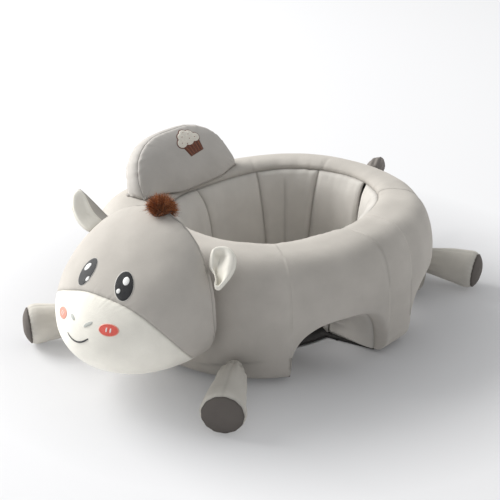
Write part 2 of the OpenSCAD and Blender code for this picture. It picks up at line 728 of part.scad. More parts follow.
// Depth of the pillow's stuffing under its gusset, beyond the usual clearance
rest_slack = 1.7;
rest_z = crest_back + foot_rise;
rest_at = [rest_x, rest_y, rest_z];
function turned_x(p, a) = [p[0], p[1] * cos(a) - p[2] * sin(a), p[1] * sin(a) + p[2] * cos(a)];
function turned_y(p, a) = [p[0] * cos(a) + p[2] * sin(a), p[1], -p[0] * sin(a) + p[2] * cos(a)];
function turned_z(p, a) = [p[0] * cos(a) - p[1] * sin(a), p[0] * sin(a) + p[1] * cos(a), p[2]];
function rest_world(p) = rest_at + turned_z(turned_x(turned_y(p, rest_roll), -rest_lean), rest_turn);
// Level of the pillow's own underside, where the ring falls away beneath it
rest_under = -3.5;
// Height in the pillow's own Z where it meets the ring under own X and Y
function foot_z(x, y, lo, hi, k) = k == 0 ? hi : let (z = (lo + hi) / 2)
    ring_side(rest_world([x, y, z]), foot_rise) > 0
        ? foot_z(x, y, lo, z, k - 1) : foot_z(x, y, z, hi, k - 1);
function rest_foot(x, y) = max(rest_under, foot_z(x, y, -40, 40, search));
// Outline in the pillow's own X and Z: an arc over the ring from end to end
function rest_edge(k, y) = let (
    a = k * 360 / rest_n,
    x = rest_half_w * spow(cos(a), rest_sq)
) [x, sin(a) > 0.01 ? max(rest_h * spow(sin(a), rest_sq), rest_foot(x, y))
    : rest_foot(x, y)];
// How far a panel's filling sags towards its middle, below its straight lower edge
rest_sag = 2.5;
function rest_loop(f, y, d) = [for (k = [0:rest_n - 1]) let (
    q = rest_edge(k, y) - [0, rest_c * rest_h],
    s = f * (1 - d / norm(q)),
    sag = q[1] < 0 ? rest_sag * (1 - f) * (1 - pow(q[0] / rest_half_w, 2)) : 0
) [q[0] * s, y, q[1] * s - sag + rest_c * rest_h]];
rest_fs = [1, 0.82, 0.5, 0.12];
function crown_y(f) = rest_crown * (1 - f * f * f);
module at_rest() {
    translate(rest_at) rotate([0, 0, rest_turn]) rotate([-rest_lean, 0, 0])
        rotate([0, rest_roll, 0]) children();
}
// side is -1 for the front panel and 1 for the back one
module rest_panel(side) {
    y0 = side < 0 ? 0 : rest_gusset;
    loops = concat(
        [for (f = backwards(rest_fs)) rest_loop(f, y0 + side * crown_y(f), 0)],
        [for (f = rest_fs) rest_loop(f, y0 + side * (crown_y(f) - cover_t), f == 1 ? cover_t : 0)]
    );
    color([0.78, 0.76, 0.73]) at_rest() skin(loops);
}
module rest_gusset_band() {
    y0 = cover_t + gap / 2;
    y1 = rest_gusset - cover_t - gap / 2;
    ym = rest_gusset / 2;
    corners = [[y0, 0], [ym, 0], [y1, 0], [y1, cover_t], [ym, cover_t], [y0, cover_t]];
    rows = [for (c = corners) rest_loop(1, c[0], c[1])];
    color([0.82, 0.81, 0.79]) at_rest()
        skin([for (k = [0:rest_n - 1]) [for (row = rows) row[k]]], true);
}
module rest_stuffing() {
    d = cover_t + 2 * gap;
    side_d = d + rest_slack;
    back = rest_gusset;
    color([0.96, 0.96, 0.94]) at_rest() skin([
        rest_loop(0.12, -crown_y(0.12) + d, 0),
        rest_loop(0.5, -crown_y(0.5) + d, 0),
        rest_loop(0.82, -crown_y(0.82) + d, rest_slack),
        rest_loop(1, d + rest_slack, side_d),
        rest_loop(1, back / 2, side_d),
        rest_loop(1, back - d - rest_slack, side_d),
        rest_loop(0.82, back + crown_y(0.82) - d, rest_slack),
        rest_loop(0.5, back + crown_y(0.5) - d, 0),
        rest_loop(0.12, back + crown_y(0.12) - d, 0)
    ]);
}
// Sewn-on picture: a pleated cup with a cream top that follows the front panel's crown
patch_at = [17, 60];
patch_lean = 8;
patch_low = 0.3;
// How far a place on the front panel is from its middle, as a part of the way to the edge
function panel_f(x, z, lo, hi, k) = k == 0 ? hi : let (
    f = (lo + hi) / 2,
    edge_z = rest_c * rest_h + (z - rest_c * rest_h) / f,
    over = pow(abs(x) / f / rest_half_w, 2 / rest_sq) + pow(max(0, edge_z) / rest_h, 2 / rest_sq)
) over > 1 ? panel_f(x, z, f, hi, k - 1) : panel_f(x, z, lo, f, k - 1);
function patch_y(x, z) = -crown_y(panel_f(x, z, 0, 1, search)) - patch_low;
// Rows from the bottom up: [height, half width]
cup_rows = [[-17, 15], [-8.5, 17], [0, 19]];
cream_rows = [[0.6, 21], [5, 25.5], [11, 26], [16, 21], [20, 12], [22, 5]];
// A place on the front panel, from one in the drawing, d outside the panel
function patch_pt(x, h, d) = let (
    px = patch_at[0] + x * cos(patch_lean) - h * sin(patch_lean),
    pz = patch_at[1] + x * sin(patch_lean) + h * cos(patch_lean)
) [px, patch_y(px, pz) - d, pz];
module patch(rows) {
    xs = [-1, -0.4, 0.4, 1];
    at_rest() skin([for (row = rows) concat(
        [for (x = xs) patch_pt(x * row[1], row[0], 0)],
        [for (x = backwards(xs)) patch_pt(x * row[1], row[0], patch_t)]
    )]);
}
module patch_cup() {
    color([0.4, 0.23, 0.16]) patch(cup_rows);
}
module patch_cream() {
    color([0.95, 0.92, 0.85]) patch(cream_rows);
}

ring_cover();
arch_liner(-1);  // arch_liner_head_side
arch_liner(1);  // arch_liner_tail_side
ring_stuffing();
lining(seam_as[2], seam_as[3]);  // lining_front
lining(seam_as[3], seam_as[4]);  // lining_tail_side
lining(seam_as[4], seam_as[5]);  // lining_tail_corner
lining(seam_as[5], seam_as[0] + 360);  // lining_back
lining(seam_as[0], seam_as[1]);  // lining_head_corner
lining(seam_as[1], seam_as[2]);  // lining_head_side
seat_pad();
base_pad();
zip_tapes();
zip_coil();
zip_slider();
zip_pull();
head_panel();
muzzle_panel();
nape_panel();
head_stuffing();
eye(-1);  // eye_left
eye(1);  // eye_right
eye_glints();
cheek(-1);  // cheek_left
cheek(1);  // cheek_right
nostrils();
mouth_stitch();
fur_tuft();
ear_back(-1);  // ear_left_back
ear_lining(-1);  // ear_left_lining
ear_back(1);  // ear_right_back
ear_lining(1);  // ear_right_lining
rest_panel(-1);  // headrest_front
rest_gusset_band();  // headrest_gusset
rest_panel(1);  // headrest_back
rest_stuffing();  // headrest_stuffing
patch_cup();
patch_cream();
at_leg(foreleg_left) leg_cover(foreleg_left[3]);  // foreleg_left_cover
at_leg(foreleg_left) leg_sole(foreleg_left[3]);  // foreleg_left_sole
at_leg(foreleg_left) leg_stuffing(foreleg_left[3]);  // foreleg_left_stuffing
at_leg(foreleg_right) leg_cover(foreleg_right[3]);  // foreleg_right_cover
at_leg(foreleg_right) leg_sole(foreleg_right[3]);  // foreleg_right_sole
at_leg(foreleg_right) leg_stuffing(foreleg_right[3]);  // foreleg_right_stuffing
at_leg(hindleg_left) leg_cover(hindleg_left[3]);  // hindleg_left_cover
at_leg(hindleg_left) leg_sole(hindleg_left[3]);  // hindleg_left_sole
at_leg(hindleg_left) leg_stuffing(hindleg_left[3]);  // hindleg_left_stuffing
at_leg(hindleg_right) leg_cover(hindleg_right[3]);  // hindleg_right_cover
at_leg(hindleg_right) leg_sole(hindleg_right[3]);  // hindleg_right_sole
at_leg(hindleg_right) leg_stuffing(hindleg_right[3]);  // hindleg_right_stuffing
at_tail() tail_cover();
at_tail() tail_tuft();
at_tail() tail_stuffing();
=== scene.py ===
import bmesh
import bpy
import numpy as np
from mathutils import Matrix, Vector
from mathutils.geometry import tessellate_polygon


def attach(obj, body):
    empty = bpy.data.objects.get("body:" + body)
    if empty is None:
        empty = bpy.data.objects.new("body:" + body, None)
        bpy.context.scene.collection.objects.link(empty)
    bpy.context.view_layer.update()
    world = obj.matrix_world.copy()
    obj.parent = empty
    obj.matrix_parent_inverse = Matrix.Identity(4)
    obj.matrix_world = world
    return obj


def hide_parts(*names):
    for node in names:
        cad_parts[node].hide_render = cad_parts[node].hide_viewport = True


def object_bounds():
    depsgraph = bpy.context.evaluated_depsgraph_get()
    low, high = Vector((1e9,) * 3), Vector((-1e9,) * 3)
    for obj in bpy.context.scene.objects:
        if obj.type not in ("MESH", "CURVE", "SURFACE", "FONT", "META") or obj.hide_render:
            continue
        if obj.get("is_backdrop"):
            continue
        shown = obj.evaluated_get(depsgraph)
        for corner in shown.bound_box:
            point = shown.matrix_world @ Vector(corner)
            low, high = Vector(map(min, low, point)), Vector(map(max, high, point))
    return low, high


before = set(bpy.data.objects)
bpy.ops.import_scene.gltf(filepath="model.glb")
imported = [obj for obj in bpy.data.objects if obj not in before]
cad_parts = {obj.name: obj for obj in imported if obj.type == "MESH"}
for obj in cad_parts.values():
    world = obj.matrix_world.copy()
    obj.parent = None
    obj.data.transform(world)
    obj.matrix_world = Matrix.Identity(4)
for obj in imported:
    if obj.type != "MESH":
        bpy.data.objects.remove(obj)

# Lengths are in millimetres here and go to metres where meshes are made. Angles are in degrees.
CAD_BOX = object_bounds()
MM = 0.001
# Points closer than this are one point, in metres
MERGE_M, FLAT_M = 2e-6, 1e-7
# Thickness of the outer skin, the well's lining and the arches' liners
SKIN_T, LINING_T, LINER_T = 1.6, 1.5, 1.4
RNG = np.random.default_rng(11)

# The part's own sizes, mostly under the names its source gives them

# The ring and its well: how far they reach from the middle, and the squareness of their curves
RING = {"front": 219, "back": 203, "tail": 212, "head": 256}
WELL = {"front": 102, "back": 118, "tail": 139, "head": 139}
OUTLINE_N = 2.2
BELLY = 0.42
CROWN_SQ = (0.68, 0.78)
FOOT_SQ = (0.32, 0.42)
SHOULDER_AT, SHOULDER_W, SHOULDER_OUT, SHOULDER_RISE = -146, 28, 48, 6
# The leg arches: squareness, height, and the directions they stand between, outside and inside
ARCH_N = 2.6
ARCH_H = 84
ARCH_FROM, ARCH_TO = 7.082, 46.024
ARCH_IN_FROM, ARCH_IN_TO = 18.082, 58.024
STRAIGHT_FROM = 64.024
FLOOR_Z = 4.4
HEM_T, RIM_T, INNER_HEM_T = -77, 121, 251
# The head: the point its directions start from, and the middles and half sizes of its ellipsoids
EYE = np.array([-285.0, 0, 115])
MUZZLE_MID = np.array([-288.0, 0, 120])
BROW_MID = np.array([-191.0, 0, 153])
MUZZLE_AXES = np.array([140.0, 117, 133])
BROW_AXES = np.array([217.0, 148, 100])
BACK_AXES = np.array([60.0, 122, 169])
HEAD_DIP = 19.5
BLEND_N = 14
MUZZLE_ENDS = (-136.9, 135.2)
NAPE_ENDS = (-127.2, 122.2)
FLAT_IN, FAR_FLAT_IN = 1.1, 1.8
# Each leg's place on the ring, where it points, the depth of its flat, and its length
LEGS = {
    "foreleg_left": (-63, -56, FLAT_IN, 102),
    "foreleg_right": (-117, -124, FAR_FLAT_IN, 102),
    "hindleg_left": (61, 18, FLAT_IN, 90),
    "hindleg_right": (118, 150, FAR_FLAT_IN, 90),
}
LEG_ROOT_R, LEG_ROOT_Z, SOLE_R = 14, 35, 30
TAIL_ROOT, TAIL_POINT, TAIL_Z, TAIL_UP, TAIL_LEN = 96, 104, 98, 14, 104
TAIL_R, TAIL_END_R, TUFT_R = 9, 7.2, 14
# The headrest: its foot's middle, its sizes, its leans and turns, and how it stands on the ring
REST_AT = np.array([-39, 135, 164.5])
REST_HALF_W, REST_H, REST_GUSSET, REST_CROWN = 104, 92, 30, 13
REST_LEAN, REST_TURN, REST_ROLL = 31.5, 3.5, 2
REST_SQ, REST_MID, FOOT_RISE, REST_UNDER = 0.78, 0.42 * REST_H, 1.5, -3.5
SETTLE_MAX, SETTLE_FRAMES, SETTLE_PRESSURE = 3.0, 20, 4
# The cup's place on the headrest's front, its lean, its size, and its drawing's drop below that place
CUP_AT, CUP_LEAN, CUP_SIZE, CUP_DROP = (17, 60), 8, 1.42, 4.4


def sin(d):
    return np.sin(np.radians(d))


def cos(d):
    return np.cos(np.radians(d))


def spow(v, p):
    return np.sign(v) * np.abs(v) ** p


def mix(a, b, f):
    return a + (b - a) * f


def smooth(x):
    x = np.clip(x, 0, 1)
    return x * x * (3 - 2 * x)


def unit(v):
    return v / np.maximum(np.linalg.norm(v, axis=-1, keepdims=True), 1e-9)


def bump(x, w):
    return np.exp(-((x / w) ** 2))


def stack(*xs):
    return np.stack(np.broadcast_arrays(*xs), -1).astype(float)


def around(count):
    """Angles evenly round a circle, as a column."""
    return np.linspace(0, 360, count + 1)[:-1, None]


def polar(r, th, z):
    """Points round the Z axis."""
    return stack(r * cos(th), r * sin(th), z)


def halve(test, lo, hi, steps):
    """The place between lo and hi where the test stops holding, from both sides, for whole arrays."""
    for _ in range(steps):
        middle = (lo + hi) / 2
        ok = test(middle)
        lo, hi = np.where(ok, middle, lo), np.where(ok, hi, middle)
    return lo, hi


def noise3(p, seed=0):
    """Smooth lattice noise from -1 to 1 at points p."""
    i = np.floor(p).astype(np.int64)
    f = p - i
    f = f * f * (3 - 2 * f)
    total = 0
    for k in range(8):
        o = np.array([k & 1, k >> 1 & 1, k >> 2 & 1])
        c = i + o
        h = (c[..., 0] * 374761393 + c[..., 1] * 668265263 + c[..., 2] * 362437 + seed * 144665) & 0x7FFFFFFF
        h = ((h ^ (h >> 13)) * 1274126177) & 0x7FFFFFFF
        h = (h ^ (h >> 16)) / 0x7FFFFFFF * 2 - 1
        w = np.where(o, f, 1 - f)
        total = total + h * w[..., 0] * w[..., 1] * w[..., 2]
    return total


# Meshes


def normals(p, closed):
    if closed:
        du = np.roll(p, -1, 0) - np.roll(p, 1, 0)
    else:
        du = np.gradient(p, axis=0)
    return unit(np.cross(du, np.gradient(p, axis=1)))


def outward(p, closed, centre):
    n = normals(p, closed)
    return n * np.sign(np.sum(n * (p - centre)))


def grid_faces(nu, nv, closed):
    i, j = np.meshgrid(np.arange(nu if closed else nu - 1), np.arange(nv - 1), indexing="ij")
    a = i * nv + j
    b = (i + 1) % nu * nv + j
    return np.stack([a, b, b + 1, a + 1], -1).reshape(-1, 4)


def strip(a, b):
    return np.stack([a[1:], a[:-1], b[:-1], b[1:]], -1)


def walls(rows, n):
    """Quads between rows of n points, each row a closed loop."""
    k, j = np.meshgrid(np.arange(rows - 1), np.arange(n), indexing="ij")
    a, b = k * n + j, k * n + (j + 1) % n
    return np.stack([a, b, b + n, a + n], -1).reshape(-1, 4)


def raw_mesh(name, verts, faces, shade=None):
    """A mesh object from points in millimetres; shade is the seams' shadow at its points, 0 to 1."""
    me = bpy.data.meshes.new(name)
    faces = faces.tolist() if isinstance(faces, np.ndarray) else faces
    me.from_pydata((np.asarray(verts) * MM).tolist(), [], faces)
    if shade is not None:
        # The attribute carries painted shade along seams and in creases, and for the fur each strand's tone
        me.attributes.new("seam", "FLOAT", "POINT").data.foreach_set("value", np.asarray(shade, np.float32))
    ob = bpy.data.objects.new(name, me)
    bpy.context.scene.collection.objects.link(ob)
    return ob


def finish_mesh(name, verts, faces, shade=None):
    """A smooth mesh object with its doubled points merged and its faces turned outward."""
    ob = raw_mesh(name, verts, faces, np.zeros(len(verts)) if shade is None else shade)
    bm = bmesh.new()
    bm.from_mesh(ob.data)
    bmesh.ops.remove_doubles(bm, verts=bm.verts, dist=MERGE_M)
    bmesh.ops.dissolve_degenerate(bm, edges=bm.edges, dist=FLAT_M)
    bmesh.ops.recalc_face_normals(bm, faces=bm.faces)
    bm.to_mesh(ob.data)
    bm.free()
    ob.data.polygons.foreach_set("use_smooth", [True] * len(ob.data.polygons))
    return ob


def solid(name, p, shade=None):
    """A grid that is round in u, and shut to a point or an edge at each end of v."""
    nu, nv = p.shape[:2]
    shade = None if shade is None else shade.ravel()
    return finish_mesh(name, p.reshape(-1, 3), grid_faces(nu, nv, True), shade)


def prisms(name, p, shade=None):
    """Many small closed forms in one mesh, their points by form, row and corner."""
    count, rows, n = p.shape[:3]
    base = np.arange(count)[:, None] * rows * n
    sides = (walls(rows, n) + base[:, :, None]).reshape(-1, 4)
    ends = np.concatenate([base + np.arange(n)[::-1], base + (rows - 1) * n + np.arange(n)])
    return raw_mesh(name, p.reshape(-1, 3), sides.tolist() + ends.tolist(), shade)


def shell(name, outer, n, thick, closed, shade=None):
    """Fabric of real thickness: outer grid, its normals, and an inner copy."""
    nu, nv = outer.shape[:2]
    count = nu * nv
    faces = grid_faces(nu, nv, closed)
    idx = np.arange(count).reshape(nu, nv)
    if closed:
        idx = np.vstack([idx, idx[:1]])
    edges = [idx[:, 0], idx[::-1, -1]]
    if not closed:
        edges += [idx[0, ::-1], idx[-1]]
    parts = [faces, faces[:, ::-1] + count] + [strip(edge, edge + count) for edge in edges]
    verts = np.concatenate([outer.reshape(-1, 3), (outer - n * thick).reshape(-1, 3)])
    if shade is not None:
        shade = np.tile(shade.ravel(), 2)
    return finish_mesh(name, verts, np.concatenate(parts), shade)


def place(ob, body, mat, nodes=()):
    """Gives a piece its material and body, finds the slot that holds its material, and hides the
    construction's nodes that it stands for.
    """
    ob.data.materials.append(mat)
    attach(ob, body)
    next(slot for slot, mats in SLOTS.items() if mat in mats)
    if nodes:
        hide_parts(*nodes)


# Materials


def srgb(r, g, b):
    c = np.array([r, g, b]) / 255
    return tuple(np.where(c <= 0.04045, c / 12.92, ((c + 0.055) / 1.055) ** 2.4)) + (1.0,)


def tinted(color, k, more=0.0, most=1.0):
    return tuple(np.minimum(np.array(color[:3]) * k + more, most)) + (1.0,)


class Nodes:
    def __init__(self, name):
        self.mat = bpy.data.materials.new(name)
        self.mat.use_nodes = True
        self.tree = self.mat.node_tree
        self.shader = self.tree.nodes["Principled BSDF"]
        self.coords = self.add("ShaderNodeTexCoord").outputs["Object"]

    def add(self, kind, inputs=None, **props):
        node = self.tree.nodes.new(kind)
        for key, value in props.items():
            setattr(node, key, value)
        for key, value in (inputs or {}).items():
            if isinstance(value, bpy.types.NodeSocket):
                self.tree.links.new(value, node.inputs[key])
            else:
                node.inputs[key].default_value = value
        return node

    def noise(self, scale, detail=2.0, rough=0.5, vector=None):
        sockets = {"Vector": vector or self.coords, "Scale": scale, "Detail": detail, "Roughness": rough}
        return self.add("ShaderNodeTexNoise", sockets).outputs["Fac"]

    def stretch(self, x, y, z, turn=(0, 0, 0)):
        sockets = {"Vector": self.coords, "Scale": (x, y, z), "Rotation": tuple(np.radians(turn))}
        return self.add("ShaderNodeMapping", sockets).outputs["Vector"]

    def math(self, op, a, b):
        return self.add("ShaderNodeMath", {0: a, 1: b}, operation=op).outputs[0]

    def blend(self, fac, a, b):
        return self.add("ShaderNodeMix", {0: fac, 6: a, 7: b}, data_type="RGBA").outputs[2]

    def ramp(self, fac, low, high):
        sockets = {"Value": fac, "From Min": low, "From Max": high}
        return self.add("ShaderNodeMapRange", sockets, clamp=True).outputs["Result"]

    # The painted shade, and the fur's strand tone, that each mesh carries
    def seam(self):
        return self.add("ShaderNodeAttribute", attribute_name="seam").outputs["Fac"]

    def wave(self, scale, axis, distortion, detail=2.0, vector=None):
        wave = self.add("ShaderNodeTexWave", bands_direction=axis)
        self.tree.links.new(vector or self.coords, wave.inputs["Vector"])
        for key, value in (("Scale", scale), ("Distortion", distortion), ("Detail", detail)):
            wave.inputs[key].default_value = value
        return wave.outputs["Fac"]

    def done(self, color, height, distance, strength, rough, sheen=(0.0, 0.5), specular=0.2, tint=None):
        """Ends the material: colour, bump height with its distance in metres, and the surface's gloss."""
        s = self.shader.inputs
        self.tree.links.new(color, s["Base Color"])
        normal = self.add("ShaderNodeBump", {"Height": height, "Distance": distance, "Strength": strength})
        self.tree.links.new(normal.outputs["Normal"], s["Normal"])
        s["Roughness"].default_value = rough
        s["Specular IOR Level"].default_value = specular
        s["Sheen Weight"].default_value, s["Sheen Roughness"].default_value = sheen
        if tint:
            s["Sheen Tint"].default_value = tint
        return self.mat


def plush(name, color, sheen=0.35):
    """Short dense pile over a knitted ground: fine fibre speckle, brushed patches, and painted shade that
    darkens seams and creases.
    """
    n = Nodes(name)
    fibre = n.noise(1500, 3, 0.7)
    nap = n.noise(1.0, 3, 0.6, n.stretch(260, 260, 520, (20, 35, 10)))
    brushed = n.noise(26, 3, 0.55)
    cloud = n.noise(6.5, 2, 0.5)
    tone = n.math("ADD", n.math("MULTIPLY", brushed, 0.4), n.math("MULTIPLY", cloud, 0.35))
    tone = n.math("ADD", tone, n.math("MULTIPLY", fibre, 0.25))
    base = n.blend(n.ramp(tone, 0.3, 0.7), tinted(color, 0.86), tinted(color, 1.1, most=0.95))
    # Painted shade: darker along seams, in folds and in quilting
    base = n.blend(n.math("MULTIPLY", n.seam(), 0.55), base, tinted(color, 0.35))
    height = n.math("ADD", n.math("MULTIPLY", fibre, 0.6), n.math("MULTIPLY", nap, 0.5))
    return n.done(base, height, 0.0005, 0.55, 0.95, (sheen, 0.45), 0.12, tinted(color, 1.6))


def satin(name, color, turn):
    """Satin stitch: close parallel threads with a soft gloss, and painted shade in the grooves between them.
    """
    n = Nodes(name)
    wave = n.wave(0.314 / (STITCH * MM), "Z", 0.6, 1.0, n.stretch(1, 1, 1, (0, turn, 0)))
    twist = n.noise(2200, 2, 0.6)
    # Painted shade: the grooves between threads are darker
    base = n.blend(wave, tinted(color, 0.72), color)
    base = n.blend(n.ramp(twist, 0.35, 0.75), base, tinted(color, 1.15, 0.004))
    height = n.math("ADD", wave, n.math("MULTIPLY", twist, 0.35))
    return n.done(base, height, 0.00022, 0.6, 0.5, (0.15, 0.4), 0.35)


def base_fabric():
    n = Nodes("base fabric")
    # A weave, with painted shade darker in the hollows between its threads
    both = n.math("MULTIPLY", n.wave(420, "X", 0.3), n.wave(420, "Y", 0.3))
    black = srgb(46, 43, 42)
    return n.done(n.blend(both, tinted(black, 0.6), black), both, 0.0003, 0.6, 0.85, (0.1, 0.5), 0.3)


def rubber():
    n = Nodes("grip dots")
    grain = n.noise(900, 2)
    base = n.blend(grain, srgb(30, 29, 29), srgb(42, 40, 40))
    return n.done(base, grain, 0.00015, 0.4, 0.6, specular=0.5)


def fur():
    """Long pile: each strand is a little darker or more orange than the next."""
    n = Nodes("fur brown")
    # Each strand's own tone, with painted shade darker towards its root, picks the colour
    fac = n.math("ADD", n.math("MULTIPLY", n.seam(), 0.9), n.math("MULTIPLY", n.noise(160, 2), 0.3))
    base = n.blend(n.ramp(fac, 0.1, 0.95), srgb(62, 31, 17), srgb(204, 128, 74))
    return n.done(base, n.noise(1800), 0.0002, 0.3, 0.55, (0.25, 0.3), 0.35)


def metal():
    n = Nodes("zip metal")
    brushed = n.noise(1.0, 2, 0.6, n.stretch(2500, 120, 2500))
    n.shader.inputs["Metallic"].default_value = 1.0
    base = n.blend(brushed, srgb(150, 150, 155), srgb(205, 205, 208))
    return n.done(base, brushed, 0.00005, 0.3, 0.32, specular=0.5)


STITCH = 0.42
BODY = plush("plush grey", srgb(188, 183, 176))
BODY_IN = plush("plush grey lining", srgb(203, 199, 193))
LIMB = plush("plush limb grey", srgb(197, 193, 185))
REST = plush("plush headrest grey", srgb(190, 186, 181))
DARK = plush("plush dark grey", srgb(104, 99, 95), 0.3)
TAIL_DARK = plush("plush tail grey", srgb(128, 123, 119), 0.3)
WHITE = plush("plush milk white", srgb(240, 236, 226), 0.2)
FUR, BASE, DOTS, METAL = fur(), base_fabric(), rubber(), metal()
# Each thread's colour and the turn of its stitches
THREADS = {
    name: satin(f"{name} thread", srgb(*color), turn)
    for name, color, turn in (
        ("black", (22, 23, 27), 0),
        ("white", (244, 244, 240), 25),
        ("coral", (236, 104, 92), 60),
        ("pale coral", (244, 168, 152), 60),
        # The far cheek's coral, painted paler for the light on that side of the head
        ("painted lit coral", (240, 160, 142), 60),
        ("pale grey", (206, 204, 198), 20),
        ("grey", (190, 193, 187), 40),
        ("brown", (104, 56, 38), 75),
        ("light brown", (150, 92, 64), 75),
        ("cream", (240, 234, 222), 15),
    )
}
SLOTS = {
    "plush_grey": [BODY, BODY_IN, REST, THREADS["pale grey"]],
    "plush_leg": [LIMB],
    "plush_dark": [DARK, TAIL_DARK],
    "plush_white": [WHITE, THREADS["white"]],
    "fur_brown": [FUR],
    "base_fabric": [BASE, DOTS],
    "thread_black": [THREADS["black"]],
    "thread_coral": [THREADS[name] for name in ("coral", "pale coral", "painted lit coral")],
    "thread_grey": [THREADS["grey"]],
    "thread_brown": [THREADS["brown"], THREADS["light brown"]],
    "thread_cream": [THREADS["cream"]],
}


# The ring's form


def reach(a, sizes):
    """How far an outline is from the middle in direction a: 0 is the front, 90 the tail."""
    rx = np.where(sin(a) > 0, sizes["tail"], sizes["head"])
    ry = np.where(cos(a) > 0, sizes["front"], sizes["back"])
    r = (np.abs(sin(a) / rx) ** OUTLINE_N + np.abs(cos(a) / ry) ** OUTLINE_N) ** (-1 / OUTLINE_N)
    return r + (SHOULDER_OUT * shoulder(a) if sizes is RING else 0)


def shoulder(a):
    return bump((a - SHOULDER_AT + 540) % 360 - 180, SHOULDER_W)


def crest(a):
    """Height of the ring's top."""
    return mix(175, 163, (1 - cos(a)) / 2) + 8 * np.maximum(0, -sin(a)) ** 3 + SHOULDER_RISE * shoulder(a)


def belly_z(top, low):
    """Height at which the ring is widest."""
    return mix(FLOOR_Z, top, BELLY) + 0.5 * np.maximum(0, low - 40)


def section(ao, ai, low, t):
    """A point of the ring's skin: outer and inner direction, height of its underside, angle round it."""
    ro, ri = reach(ao, RING), reach(ai, WELL)
    top = crest(ao)
    mid = belly_z(top, low)
    upper = sin(t) > 1e-9
    q = 0.5 + 0.5 * spow(cos(t), np.where(upper, CROWN_SQ[0], FOOT_SQ[0]))
    z = mid + spow(sin(t), np.where(upper, CROWN_SQ[1], FOOT_SQ[1])) * np.where(upper, top - mid, mid - low)
    x = mix(ri * sin(ai), ro * sin(ao), q)
    y = mix(-ri * cos(ai), -ro * cos(ao), q)
    return stack(x, y, z)


def ring_side(p, d):
    """Less than nothing inside the ring grown by d, more outside."""
    a = np.degrees(np.arctan2(p[..., 0], -p[..., 1]))
    r = np.hypot(p[..., 0], p[..., 1])
    ro, ri = reach(a, RING) + d, reach(a, WELL) - d
    top, low = crest(a) + d, FLOOR_Z - d
    mid = belly_z(crest(a), 0)
    upper = p[..., 2] > mid
    across = np.abs(r - (ro + ri) / 2) / ((ro - ri) / 2)
    along = np.abs(p[..., 2] - mid) / np.where(upper, top - mid, mid - low)
    e_r = 2 / np.where(upper, CROWN_SQ[0], FOOT_SQ[0])
    e_z = 2 / np.where(upper, CROWN_SQ[1], FOOT_SQ[1])
    return across**e_r + along**e_z - 1


def inner_of(a):
    """The direction in the well that faces direction a outside."""
    s, m = np.sign(a), np.abs(a)
    f = (m - ARCH_TO) / (STRAIGHT_FROM - ARCH_TO)
    post = ARCH_IN_FROM * m / ARCH_FROM
    arch = mix(ARCH_IN_FROM, ARCH_IN_TO, (m - ARCH_FROM) / (ARCH_TO - ARCH_FROM))
    out = np.where(m < ARCH_FROM, post, np.where(m < ARCH_TO, arch, mix(ARCH_IN_TO, STRAIGHT_FROM, f)))
    return s * np.where(m > STRAIGHT_FROM, m, out)


def arch_stations(n):
    """Stations over one arch, evenly spaced along its edge: outer and inner direction, underside."""
    a = np.linspace(0, 180, 1441)
    f = (1 - spow(cos(a), 2 / ARCH_N)) / 2
    z = FLOOR_Z + (ARCH_H - FLOOR_Z) * np.maximum(0, sin(a)) ** (2 / ARCH_N)
    length = np.concatenate([[0], np.cumsum(np.hypot(np.diff(f) * 146, np.diff(z)))])
    k = np.interp(np.linspace(0, length[-1], n), length, np.arange(len(a)))
    f, z = np.interp(k, np.arange(len(a)), f), np.interp(k, np.arange(len(a)), z)
    return stack(mix(ARCH_FROM, ARCH_TO, f), mix(ARCH_IN_FROM, ARCH_IN_TO, f), z)


def half_stations():
    post = np.linspace(0, ARCH_FROM, 7)[:-1]
    even = np.linspace(ARCH_TO, STRAIGHT_FROM, 15)[1:]
    side = np.concatenate([even, np.linspace(STRAIGHT_FROM, 180, 88)[1:]])
    return np.concatenate([
        stack(post, inner_of(post), FLOOR_Z),
        arch_stations(58),
        stack(side, inner_of(side), FLOOR_Z),
    ])


HALF = half_stations()
MIRROR = HALF[1:-1][::-1] * [-1, -1, 1]
STATIONS = np.concatenate([HALF, MIRROR])


def even_ts(t0, t1, n, st=(200, 200, FLOOR_Z)):
    """Angles round the section, evenly spaced along its curve."""
    t = np.linspace(t0, t1, 2001)
    p = section(*st, t)
    length = np.concatenate([[0], np.cumsum(np.linalg.norm(np.diff(p, axis=0), axis=1))])
    return np.interp(np.linspace(0, length[-1], n), length, t)


def lengths(p, axis):
    """Length along the grid's lines from their start, in millimetres."""
    step = np.linalg.norm(np.diff(p, axis=axis), axis=-1)
    first = np.zeros_like(np.take(step, [0], axis=axis))
    return np.cumsum(np.concatenate([first, step], axis=axis), axis=axis)


def round_noise(a, t, wave_a, wave_t, seed):
    """Noise that closes round the ring: wavelengths along it and across it, in millimetres."""
    r = 200 / wave_a
    return noise3(stack(r * sin(a), r * cos(a), t / wave_t), seed)


def touch_r(a, z, d):
    """How far out a point in direction a at height z is d away from the ring."""
    inside = lambda r: ring_side(np.array([r * sin(a), -r * cos(a), z]), d) <= 0
    return halve(inside, reach(a, RING) - 20, reach(a, RING) + 60, 20)[1]


def sewn_at(a, z, radius, flat_in=FLAT_IN):
    """Middle of a rounded end that touches the ring's flats in direction a at height z."""
    r = touch_r(a, z, radius + 0.4 - flat_in)
    return np.array([r * sin(a), -r * cos(a), z])


LEG_ROOTS = {leg: sewn_at(at[0], LEG_ROOT_Z, LEG_ROOT_R, at[2]) for leg, at in LEGS.items()}
TAIL_AT = sewn_at(TAIL_ROOT, TAIL_Z, TAIL_R)


